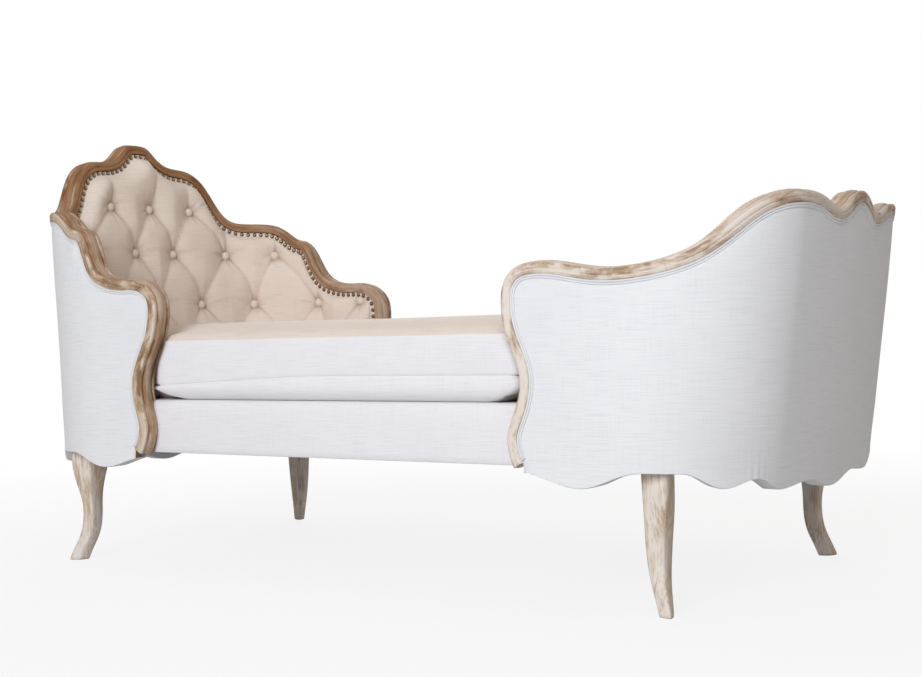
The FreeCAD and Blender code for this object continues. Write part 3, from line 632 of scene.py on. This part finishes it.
def show_wood(end):
    """Rim of one end, cut into rails and posts where a chair maker joins them."""
    crest, arm = (end.place_of(*joint) for joint in end.joints[:2])
    x, z = end.joints[2]
    post = end.place_of(end.wing_s(x), z)
    rail(end, end.name + "_crest_rail", -crest, crest)
    for side, side_name in SIDE_NAMES.items():
        for kind, a, b in (("shoulder_rail", crest, arm), ("arm_rail", arm, post),
                           ("post", post, end.run[-1])):
            start, stop = sorted((side * a, side * b))
            rail(end, f"{end.name}_{kind}_{side_name}", start, stop)


# Upholstery of the ends

def scallop(s):
    """Height of the lower edge: smooth waves between lobes and notches."""
    a = np.abs(s)
    known_s, known_z = np.array(SCALLOPS, float).T
    i = np.clip(np.searchsorted(known_s, a) - 1, 0, len(known_s) - 2)
    share = np.clip((a - known_s[i]) / (known_s[i + 1] - known_s[i]), 0, 1)
    return known_z[i] + (known_z[i + 1] - known_z[i]) * (1 - np.cos(math.pi * share)) / 2


def panel(end, places, stop, tuck, lower_edge, share):
    """Grid of a panel: columns from just under the wood to the lower edge, fanned at the post.

    Gives s and z of the grid, both at the lower edge, and the distance of each from the wood."""
    top_s, top_z = end.edge(places, PANEL_DROP)
    u = np.abs(places)
    probe = np.linspace(0, stop, 2000)
    fan = probe[np.argmax(end.edge(probe, PANEL_DROP)[0] > end.corner_end)]
    last = end.edge(stop, PANEL_DROP)[0] - tuck
    fanned = end.corner_end + (last - end.corner_end) * (u - fan) / (stop - fan)
    low_s = np.where(u > fan, fanned, top_s) * side_of(places)
    low_z = lower_edge(low_s)
    s = between(top_s * side_of(places), low_s, share)
    z = between(top_z, low_z, share)
    reach = nearest(np.stack([np.abs(s), z], -1), end.line)[0] - RAIL_HEIGHT
    return s, z, low_s, low_z, np.maximum(reach, 0)


def meet_wood(end, places, s, z, reach, offset):
    """Shift of a panel's face from the developed wall to the flat section beside the wood."""
    shift = end.beside_wood(places, offset, PANEL_DROP) - end.at(s[:, 0], z[:, 0], offset)
    return shift[:, None] * fade(reach, WOOD_BLEND, 1)[..., None]


def panel_marks(s, z, low_s, low_z, fall, painted_shade):
    """Weave and painted shade of a panel; the weave runs on over what falls beyond its lower edge.
    """
    fall = np.array(fall, float)
    weave = vector_mark(np.hstack([s, low_s[:, None] + 0 * fall]),
                        np.hstack([z, low_z[:, None] + fall]), 0)
    return {"weave": weave, "painted_shade": np.hstack([painted_shade, np.zeros((len(s), len(fall)))])}


def pleat_line(start, stop, bow):
    """Points along one pleat, and the direction that its gentle side faces."""
    a, b = np.array(start, float), np.array(stop, float)
    way = (b - a) / np.linalg.norm(b - a)
    square = np.array([-way[1], way[0]])
    share = np.linspace(0, 1, int(np.linalg.norm(b - a) / 2.5) + 2)[:, None]
    line = a + (b - a) * share + square * bow * 4 * share * (1 - share)
    above = square if square[1] > 0 else -square
    return line, np.broadcast_to(above, line.shape)


def pleats(end):
    """Diagonal folds between neighbouring rows of buttons, and straight ones up to the wood."""
    rows = [(z, sorted({side * s for s in row for side in (NEAR, FAR)}))
            for z, row in (*end.buttons, end.hidden_row)]
    lines = []
    for (z0, upper), (z1, lower) in zip(rows, rows[1:]):
        for s0 in upper:
            for s1 in lower:
                on_one_side = s0 * s1 >= 0 and abs(s1 - s0) < end.pleat_span
                if on_one_side or abs(s0) + abs(s1) < MIDDLE_SPAN:
                    bow = PLEAT_BOW if s1 > s0 else -PLEAT_BOW
                    lines.append(pleat_line((s0, z0), (s1, z1), bow))
    for s, z, bow in end.rising_pleats:
        for side in both_sides(s):
            top = (side * s * RISE_SPREAD, z + RISE)
            lines.append(pleat_line((side * s, z), top, side * bow))
    return [np.concatenate(parts) for parts in zip(*lines)]


def button_places(end):
    return np.array([(side * s, z) for z, row in end.buttons for s in row
                     for side in both_sides(s)], float)


def tufted_pad(end):
    """Deep-buttoned inside of one end, in one piece from post to post."""
    past_bulge = end.run > end.bulge
    stop = end.run[np.argmax(past_bulge & (end.edge(end.run, PANEL_DROP)[1] < PAD_STOP))]
    places = np.linspace(-stop, stop, int(2 * stop / 5))
    # Rows lie a little closer near the wood
    share = np.linspace(0, 1, 120) ** 1.12
    s, z, low_s, low_z, reach = panel(end, places, stop, PAD_TUCK,
                                      lambda low: np.full_like(low, PAD_BOTTOM), share)
    spot = np.stack([s, z], -1)
    folds, above = pleats(end)
    gap, which = nearest(spot, folds)
    over = ((spot - folds[which]) * above[which]).sum(-1)
    felt = np.where(over > 0, gap * GENTLE_SIDE, gap * STEEP_SIDE)
    buttons = button_places(end)
    to_button, button = nearest(spot, buttons)
    away = spot - buttons[button]
    turn = np.arctan2(away[..., 1], away[..., 0])
    pucker = fade(to_button - PUCKER_RING, PUCKER_WIDTH) * sum(
        high * np.sin(count * turn + shift * button) for high, count, shift in PUCKERS)
    depth = fade(felt, SLOPE_REACH, 1.1) * (
        PLEAT_KEPT + (1 - PLEAT_KEPT) * fade(to_button, PLEAT_DEEP))
    seat = 1 - fade(to_button, DIP_REACH, 1.3)
    wrinkle = 0.8 * np.sin(felt / 2.4) * fade(felt, 14) * fade(to_button, 45, 1)
    quiet = ease(z, *FLAT_HEIGHTS)
    swell = BASE_SWELL * seat + PILLOW_SWELL * (1 - depth) * seat + wrinkle + pucker
    inward = BUTTON_SEAT + swell * quiet + FLAT_SWELL * (1 - quiet)
    rolled = np.clip((reach - NAIL_BORDER) / PAD_ROLL, 0, 1)
    rolled = np.sqrt(1 - (1 - rolled) ** 2)
    face = end.at(s, z, BORDER_OFFSET * (1 - rolled) - inward * rolled, rolled)
    face += meet_wood(end, places, s, z, reach, BORDER_OFFSET)
    back = [end.at(low_s, PAD_BOTTOM, PAD_BACK),
            end.at((low_s + s[:, 0]) / 2, (PAD_BOTTOM + z[:, 0]) / 2, PAD_BACK),
            end.beside_wood(places, PAD_BACK, PANEL_DROP)]
    rings = np.concatenate([face, np.stack(back, 1)], 1)
    # Painted shade: creases are painted darker towards their button, and shade is painted round the
    # seat of each button
    painted_crease_shade = fade(gap, 3.4, 1.2) * (0.12 + 0.6 * fade(to_button, 38, 1)) * ease(reach, 8, 30)
    painted_shade = np.clip(painted_crease_shade * quiet + 0.55 * fade(to_button, 17), 0, 1)
    pad = swept(end.name + "_tufted_pad", rings, inside_linen, "inside_linen",
                replaces=end.named("inside_back_pad", "inside_pad_near", "inside_pad_far"),
                marks=panel_marks(s, z, low_s, low_z, (0, 0, 0), painted_shade))


def domes(name, centres, axes, profile, turns, finish, slot, rub=None, **more):
    """Many equal turned caps in one mesh: profile is radius and height above the seat."""
    axes = axes / np.linalg.norm(axes, axis=1)[:, None]
    first = np.cross(axes, [0.0, 0.0, 1.0])
    first /= np.linalg.norm(first, axis=1)[:, None]
    second = np.cross(axes, first)
    angle = np.arange(turns) * 2 * math.pi / turns
    spin = first[:, None] * np.cos(angle)[:, None] + second[:, None] * np.sin(angle)[:, None]
    radius, height = np.array(profile, float).T[:, :, None, None]
    place = spin[:, None] * radius
    rings = centres[:, None, None] + place + axes[:, None, None] * height
    if rub is None:
        marks = {"weave": vector_mark(place[..., 0] + place[..., 1], place[..., 2], 0)}
    else:
        marks = {"rub": np.broadcast_to(np.array(rub, float)[:, None], rings.shape[:3])}
    faces = many_faces(len(centres), len(profile), turns)
    return turn_out(piece(name, rings, faces, finish, slot, marks, **more))


def tuft_buttons(end):
    """Cloth-covered buttons, drawn down into the pad."""
    s, z = button_places(end).T
    _, normal, _ = end.plan(s)
    axes = -normal
    axes[:, 2] = end.slope(normal, True)
    domes(end.name + "_tuft_buttons", end.at(s, z, -BUTTON_SEAT - 0.5, 1.0), axes,
          BUTTON_PROFILE, 22, button_linen, "inside_linen", replaces=(end.name + "_buttons",))


def nails(end):
    """Close row of domed nails on the flat border beside the wood."""
    low = end.run[np.argmax((end.run > end.bulge) & (end.half[:, 1] < LOWEST_NAIL))]
    places = np.linspace(-low, low, 4000)
    s, z = end.edge(places, NAIL_DROP)
    run = run_length(np.column_stack([s * side_of(places), z]))
    spots = np.interp(np.linspace(0, run[-1], int(run[-1] / NAIL_PITCH)), run, places)
    _, out, _ = end.section_axes(spots)
    axes = -out
    axes[:, 2] = end.slope(out)
    domes(end.name + "_nail_row", end.beside_wood(spots, BORDER_OFFSET - 0.2, NAIL_DROP), axes,
          NAIL_PROFILE, 14, nail_brass, "nail_brass", rub=NAIL_WEAR_AND_HIGHLIGHT)


def outside_cover(end):
    """Outside cover of one end: drawn in beside the wood, wrapped under the lower edge."""
    stop = end.run[-1] - 2
    places = np.linspace(-stop, stop, int(2 * stop / 5.5))
    share = 0.5 - 0.5 * np.cos(math.pi * np.linspace(0, 1, 70))
    s, z, low_s, low_z, reach = panel(end, places, end.run[-1], 0.0, scallop, share)
    above_edge = np.maximum(z - low_z[:, None], 0)
    full = 1 - fade(reach, 14, 1)
    belly = ease(reach, 20, 150) * ease(above_edge, 10, 120)
    offset = COVER_EDGE + COVER_FULL * full + COVER_BELLY * belly
    for gather in GATHERS:
        away = np.abs(s) - gather
        wave = GATHER_RISE + GATHER_WAVE * np.cos(away * 2 * math.pi / GATHER_SPACING)
        offset = offset + fade(away, GATHER_WIDTH) * fade(above_edge, GATHER_HEIGHT, 1) * wave
    face = end.at(s, z, offset) + meet_wood(end, places, s, z, reach, -1.5)
    wrap = [end.at(low_s, low_z + lift, inset, upright) for inset, lift, upright in COVER_TURN]
    wrap.append(end.beside_wood(places, COVER_TURN[-1][0], PANEL_DROP))
    fall = [lift + inset for inset, lift, _ in COVER_TURN] + [0.0]
    # Painted shade on the cloth right beside the wood, where it runs in under the rim
    shade = 0.3 * fade(reach, 4, 1)
    cover = swept(end.name + "_outside_linen", np.concatenate([face, np.stack(wrap, 1)], 1),
                  outside_linen, "outside_linen",
                  replaces=end.named("outside_back", "outside_near", "outside_far"),
                  marks=panel_marks(s, z, low_s, low_z, fall, shade))
    end.named("stiles", "apron_back", "apron_near", "apron_far")


def welts(end):
    """Double self-welt laid beside the wood, all round the outside."""
    stop = end.run[-1] - 4
    places = np.linspace(-stop, stop, int(end.run[-1] / 2.6))
    angle = np.arange(WELT_SIDES) * 2 * math.pi / WELT_SIDES
    rings = np.stack([np.stack([
        end.beside_wood(places, WELT_OFFSET + WELT_RADIUS * math.cos(a),
                        drop + WELT_RADIUS * math.sin(a)) for a in angle], 1)
        for drop in WELT_DROPS])
    around = np.arange(WELT_SIDES) * 1.7
    weave = vector_mark(places[None, :, None], around, np.zeros((len(WELT_DROPS), 1, 1)))
    turn_out(piece(end.name + "_double_welt", rings, many_faces(*rings.shape[:3]), welt_linen,
                   "outside_linen", {"weave": weave}))


# Seat

def barrel_reach(end, z, offset, y):
    """Distance along the seat to one end's inner wall, at a distance y from the middle."""
    s = np.linspace(0, end.corner_end, 400)
    wall = end.at(s, z, offset, 1.0)
    return np.interp(np.abs(y), wall[:, 1], np.abs(wall[:, 0]))


def post_front(end, z):
    """Distance from the middle of the seat to the front edge of the posts."""
    low = end.half[end.run > end.bulge]
    return end.wing_s(0) - np.interp(-z, -low[:, 1], low[:, 0])


class SeatGrid:
    """Grid over the T-shaped seat plan, whose places follow from an inset and a height."""

    def __init__(self, ear_x, ear_y, gap, soft_ears=False):
        self.ear_x, self.ear_y, self.gap, self.soft_ears = ear_x, ear_y, gap, soft_ears
        outer = np.linspace(0, 1, 32)[1:]
        self.across = np.concatenate([-1 - outer[::-1], np.linspace(-1, 1, 70), 1 + outer])
        self.middle = np.abs(self.across) <= 1.0 + 1e-9
        self.body = np.sin(np.linspace(-1, 1, 58) * math.pi / 2)[:, None]
        self.ears = np.linspace(0, 1, 7)[1:, None]
        rows = len(self.ears)
        used = np.ones((len(self.body) + 2 * rows, len(self.across)), bool)
        used[:rows] = used[-rows:] = self.middle
        self.count = int(used.sum())
        index = np.where(used, np.cumsum(used).reshape(used.shape) - 1, -1)
        corners = np.stack([index[:-1, :-1], index[:-1, 1:], index[1:, 1:], index[1:, :-1]], -1)
        self.faces = corners[(corners >= 0).all(-1)]
        edges = dict.fromkeys((p, q) for face in self.faces.tolist()
                              for p, q in zip(face, face[1:] + face[:1]))
        after = {p: q for p, q in edges if (q, p) not in edges}
        border = [next(iter(after))]
        while after[border[-1]] != border[0]:
            border.append(after[border[-1]])
        self.border = np.array(border)

    def level(self, inset, z):
        """Points of the grid at one height, for an inset from the full outline."""
        offset = -PAD_FACE - self.gap - inset
        neck_y = WING_HALF_WIDTH + offset
        ear_x, ear_y = self.ear_x - inset, self.ear_y - inset
        y = neck_y * self.body
        to_head, to_foot = (barrel_reach(end, z, offset, y) for end in ENDS)
        t, sign = np.abs(self.across), np.sign(self.across)
        far = np.where(sign < 0, to_head, to_foot)
        x = np.where(t <= 1, t * ear_x, ear_x + (far - ear_x) * (t - 1)) * sign
        body = listed(x, y, z)
        y = neck_y + (ear_y - neck_y) * self.ears
        into = np.maximum(y - (ear_y - EAR_RADIUS), 0)
        round_off = np.sqrt(np.maximum(EAR_RADIUS ** 2 - into ** 2, 0))
        t = self.across[self.middle]
        x = t * (ear_x - EAR_RADIUS + round_off)
        if self.soft_ears:
            spread = post_front(head, z) - EAR_GAP - inset - self.ear_x
            x = x + np.sign(t) * spread * ease(y, *EAR_SPREAD_Y) * ease(
                np.abs(t), *EAR_SPREAD_SHARE)
        return np.concatenate([listed(x[::-1], -y[::-1], z), body, listed(x, y, z)])

    def closed(self, levels):
        """Points and faces of a body between two whole levels, with borders between."""
        inside = np.setdiff1d(np.arange(self.count), self.border)
        points = [levels[0], *[level[self.border] for level in levels[1:]], levels[-1][inside]]
        faces = self.faces.tolist()
        above, count = self.border, self.count
        for _ in levels[1:]:
            here = count + np.arange(len(self.border))
            faces += np.stack([above, here, np.roll(here, -1), np.roll(above, -1)], -1).tolist()
            above = here
            count += len(here)
        index = np.full(self.count, -1)
        index[self.border] = above
        index[inside] = count + np.arange(len(inside))
        return np.concatenate(points), faces + index[self.faces[:, ::-1]].tolist()


def settle(made, rest, most):
    """Inflates a cushion as cloth; no point moves further than its most."""
    cloth = made.modifiers.new("filling", "CLOTH")
    for name, value in FILLING.items():
        setattr(cloth.settings, name, value)
    cloth.settings.effector_weights.gravity = 0
    cloth.collision_settings.use_collision = False
    scene = bpy.context.scene
    for step in range(1, FILLING_STEPS + 1):
        scene.frame_set(step)
    filled = made.evaluated_get(bpy.context.evaluated_depsgraph_get())
    soft = filled.to_mesh()
    moved = np.zeros(len(soft.vertices) * 3)
    soft.vertices.foreach_get("co", moved)
    filled.to_mesh_clear()
    made.modifiers.remove(cloth)
    scene.frame_set(1)
    move = moved.reshape(-1, 3) / MM - rest
    length = np.linalg.norm(move, axis=1)
    return rest + move * (most / np.maximum(length, most))[:, None]


def seat_cushion():
    """Loose boxed cushion with ears: crisp top edge, crowned top, lower seam and tucked roll."""
    grid = SeatGrid(CUSHION_EAR_X, CUSHION_EAR_Y, CUSHION_GAP, soft_ears=True)
    levels = [grid.level(inset, z) for z, inset in CUSHION_SIDE]
    top, base = levels[0][:, :2], levels[-1][:, :2]
    border = top[grid.border]
    away = nearest(top, border)[0]
    dome = np.sqrt(1 - (1 - np.clip(away / CROWN_REACH, 0, 1)) ** CROWN_POWER)
    wave_x, wave_y = np.sin(top / WAVE_LENGTHS + WAVE_SHIFTS).T
    levels[0][:, 2] += CUSHION_CROWN * dome + TOP_WAVE * wave_x * wave_y * ease(away, 10, 80)
    for (z, _), level in zip(CUSHION_SIDE[1:], levels[1:]):
        slant = SEAM_LIFT - SEAM_FALL * (1 - ease(level[:, 0], *SEAM_PLACES))
        level[:, 2] += slant * fade(z - SEAM_HEIGHT, SEAM_REACH) * ease(z, CUSHION_BASE, 372)
    rest, faces = grid.closed(levels)
    made = piece("seat_cushion_linen", rest, faces, (inside_linen, boxing_linen),
                 "cushion_linen", {"painted_shade": np.zeros(len(rest))},
                 replaces=("cushion_cover", "cushion_core"), body="seat_cushion")
    mesh = made.data
    # Beige linen on the top, the boxing cloth painted darker and warmer as painted light and shade
    # for how light falls on it, and boxing on all other faces
    mesh.polygons.foreach_set("material_index",
                              (np.arange(len(faces)) >= len(grid.faces)).astype(np.int32))
    # The weave lies flat on the top and the base, and runs round the boxing
    run = run_length(np.vstack([border, border[:1]]))
    around = np.stack([run[:-1], run[:-1], run[1:], run[1:]], -1)
    flat = [top[grid.faces]]
    for (z0, _), (z1, _) in zip(CUSHION_SIDE, CUSHION_SIDE[1:]):
        flat.append(np.stack(np.broadcast_arrays(around, [z0, z1, z1, z0]), -1))
    flat.append(base[grid.faces[:, ::-1]])
    flat = np.concatenate(flat)
    weave = mesh.attributes.new("weave", "FLOAT_VECTOR", "CORNER")
    corners = vector_mark(flat[..., 0], flat[..., 1], 0)
    weave.data.foreach_set("vector", corners.astype(np.float32).ravel())
    open_side = ease(np.abs(rest[:, 1]), 346, 372)
    on_top = ease(rest[:, 2], 470, 486) * ease(nearest(rest[:, :2], border)[0], 0, 60)
    most = LEAST_MOVE + SIDE_MOVE * open_side + TOP_MOVE * on_top
    softened = settle(made, rest, most * ease(rest[:, 2], 361, 400) + 1e-4)
    softened[:, 2] = np.clip(softened[:, 2], CUSHION_BASE, None)
    mesh.vertices.foreach_set("co", (softened * MM).ravel())
    mesh.update()
    turn_out(made)


def seat_rail_covers():
    """Linen fronts of the seat rails, rolled over the deck's edge and turned under."""
    section = np.array(RAIL_COVER)
    out, z = section.T
    heights = np.clip(z, *RAIL_COVER_HEIGHTS)
    start, stop = (end.sign * (post_front(end, heights) + RAIL_COVER_TUCK) for end in ENDS)
    x = start + (stop - start) * np.linspace(0, 1, 90)[:, None]
    weave = vector_mark(x, run_length(section), 0)
    for side, side_name in SIDE_NAMES.items():
        ripple = 0.5 * np.sin(x / 61 + side) * ease(z, 300, 350) * (out > -5)
        rings = np.stack([x, side * (RAIL_COVER_FACE + out + ripple),
                          np.broadcast_to(z, x.shape)], -1)
        made = swept(f"seat_rail_cover_{side_name}_linen", rings, boxing_linen, "outside_linen",
                     replaces=(f"seat_rail_cover_{side_name}",),
                     marks={"weave": weave})


def deck():
    """Padded platform under the cushion, in the inside linen, slightly soft at its edge."""
    grid = SeatGrid(CUSHION_EAR_X, RAIL_COVER_FACE - 14.0, 0.3)
    rest, faces = grid.closed([grid.level(inset, WEB_TOP + rise) for rise, inset in DECK_EDGE])
    made = piece("seat_deck_linen", rest, faces, inside_linen, "inside_linen",
                 {"weave": rest * MM}, replaces=("seat_deck",))
    turn_out(made)


# Legs

def legs():
    """Cabriole legs kicked out on the diagonal, faces softly bowed between two arrises."""
    z = np.linspace(0, LEG_HEIGHT, 46)
    line, _ = smooth_line(LEG_SECTIONS, 30)
    shift, length, width = (np.interp(z, line[:, 0], line[:, k]) for k in (1, 2, 3))
    angle = np.arange(40) * 2 * math.pi / 40
    c, s = np.cos(angle), np.sin(angle)
    grow = (np.abs(c) ** LEG_FULLNESS + np.abs(s) ** LEG_FULLNESS) ** (-1 / LEG_FULLNESS)
    # The sole is trimmed a little, and the foot is worn
    trim = 1 - 0.05 * fade(z, 2.0, 1)
    a = c * grow * (length * trim / 2)[:, None]
    b = s * grow * (width * trim / 2)[:, None]
    wear = np.broadcast_to((0.35 * fade(z, 16, 1))[:, None], a.shape)
    for end in ENDS:
        for side, side_name in SIDE_NAMES.items():
            along = np.array([end.sign, side, 0]) / math.sqrt(2)
            across = np.array([-along[1], along[0], 0])
            axis = np.array([end.sign * LEG_FOOT_X, side * LEG_FOOT_Y, 0]) - along * LEG_KICK
            centre = axis + along * shift[:, None]
            rings = centre[:, None] + along * a[..., None] + across * b[..., None]
            rings[..., 2] = z[:, None]
            grain = vector_mark(z[:, None] + 500 * side + 900 * end.sign, a + shift[:, None], b)
            name = f"{end.name}_leg_{side_name}"
            swept(name + "_cabriole", rings, pale_oak, "show_wood", replaces=(name,),
                  marks={"grain": grain, "groove": wear, "golden": np.zeros_like(a)})


# Hidden frame: the CAD solids stay, each in its own stuff
HIDDEN_STUFF = {beech: ("stiles", "apron", "leg_blocks", "seat_rail_near", "seat_rail_far",
                        "cross_rail", "stretchers"),
                jute: ("webbing",), zinc: ("leg_bolts",), dust_cloth: ("dust_cover",),
                fibre: ("seat_rail_padding",)}


def dress_hidden_frame():
    """Each hidden CAD solid takes the stuff that its name calls for."""
    for name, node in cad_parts.items():
        for stuff, parts in HIDDEN_STUFF.items():
            if any(part in name for part in parts):
                node.data.materials.clear()
                node.data.materials.append(stuff)


for barrel in ENDS:
    for make in (show_wood, tufted_pad, tuft_buttons, nails, outside_cover, welts):
        make(barrel)
for make in (seat_rail_covers, deck, seat_cushion, legs, dress_hidden_frame):
    make()


# Camera and light

# Fitted to the photograph: its size and optical centre in pixels, place in metres, and degrees
PHOTO_WIDTH, PHOTO_HEIGHT = 922.0, 677.0
PHOTO_FOCAL = 1481.924
PHOTO_CENTRE = (473.80, 297.89)
PHOTO_PLACE = (1.88729, -2.63632, 0.49663)
PHOTO_TURN = (91.17445, 1.41615, 34.15983)

# Place, aim, width and height in metres, power in watts, colour
LAMPS = {
    "window_key": ((1.5, -5.4, 2.6), (0.1, 0.0, 0.45), 2.6, 2.2, 230, "#f6f8ff"),
    "ceiling_fill": ((0.3, 0.1, 3.0), (-0.2, 0.0, 0.3), 2.4, 2.0, 9, "#fff0e0"),
    "back_fill": ((-3.0, 4.2, 2.3), (0.0, 0.0, 0.45), 3.0, 2.4, 135, "#f8f8ff"),
}
ROOM_LIGHT = 0.34
FLOOR_HALF = 14.0


def photo_camera():
    """Camera where the photograph was taken from, with its framing."""
    lens = bpy.data.cameras.new("photo_camera")
    lens.sensor_width = 36.0
    lens.lens = PHOTO_FOCAL * lens.sensor_width / PHOTO_WIDTH
    lens.shift_x = (PHOTO_WIDTH / 2 - PHOTO_CENTRE[0]) / PHOTO_WIDTH
    lens.shift_y = (PHOTO_CENTRE[1] - PHOTO_HEIGHT / 2) / PHOTO_WIDTH
    camera = placed("photo_camera", lens)
    camera.location = PHOTO_PLACE
    camera.rotation_euler = [math.radians(angle) for angle in PHOTO_TURN]
    bpy.context.scene.camera = camera


def lamp(name, place, target, width, height, power, colour):
    """Soft rectangular lamp aimed at a point, out of the camera's sight."""
    light = bpy.data.lights.new(name, "AREA")
    light.shape = "RECTANGLE"
    light.size, light.size_y = width, height
    light.energy = power
    light.color = linear(colour)[:3]
    made = placed(name, light)
    made.location = place
    made.visible_camera = False
    made.rotation_euler = (Vector(target) - Vector(place)).to_track_quat("-Z", "Y").to_euler()


def shown_as(finish, output, seen, seen_share, lit):
    """Camera, gloss and glass rays see one shader by a share, and light falls on the other."""
    rays = add(finish, "LightPath").outputs
    see = rays["Is Camera Ray"]
    for ray in ("Is Glossy Ray", "Is Transmission Ray"):
        see = add(finish, "Math", {0: see, 1: rays[ray]}, operation="MAXIMUM")
    share = add(finish, "Math", {0: see, 1: seen_share}, operation="MULTIPLY")
    add(finish, output, {"Surface": add(finish, "MixShader", {0: share, 1: lit, 2: seen})})


def studio():
    """White floor and backdrop, a window-like lamp in front, a weaker one behind, soft fill."""
    world = bpy.data.worlds.new("studio")
    bpy.context.scene.world = world
    paper = bpy.data.materials.new("white_floor")
    for finish in (world, paper):
        finish.use_nodes = True
        finish.node_tree.nodes.clear()
    white = add(world, "Background", {"Color": linear("#ffffff"), "Strength": 1.0})
    room = add(world, "Background", {"Color": linear("#fff6ee"), "Strength": ROOM_LIGHT})
    shown_as(world, "OutputWorld", white, 1.0, room)
    # The floor shows its shadows near the object, and is plain white from 3 m out
    matt = add(paper, "BsdfDiffuse", {"Color": linear("#dedede")})
    glow = add(paper, "Emission", {"Color": linear("#ffffff"), "Strength": 1.0})
    place = add(paper, "TexCoord").outputs["Object"]
    away = add(paper, "VectorMath", {0: place}, operation="LENGTH").outputs["Value"]
    plain = add(paper, "MapRange", {"Value": away, "From Min": 1.2, "From Max": 3.0,
                                    "To Min": 0.85, "To Max": 1.0})
    shown_as(paper, "OutputMaterial", glow, plain, matt)
    mesh = bpy.data.meshes.new("floor")
    corners = [(x * FLOOR_HALF, y * FLOOR_HALF, 0) for x, y in ((-1, -1), (1, -1), (1, 1), (-1, 1))]
    mesh.from_pydata(corners, [], [(0, 1, 2, 3)])
    mesh.materials.append(paper)
    placed("floor", mesh)
    for name, facts in LAMPS.items():
        lamp(name, *facts)
    bpy.context.scene.view_settings.view_transform = "Standard"


photo_camera()
studio()
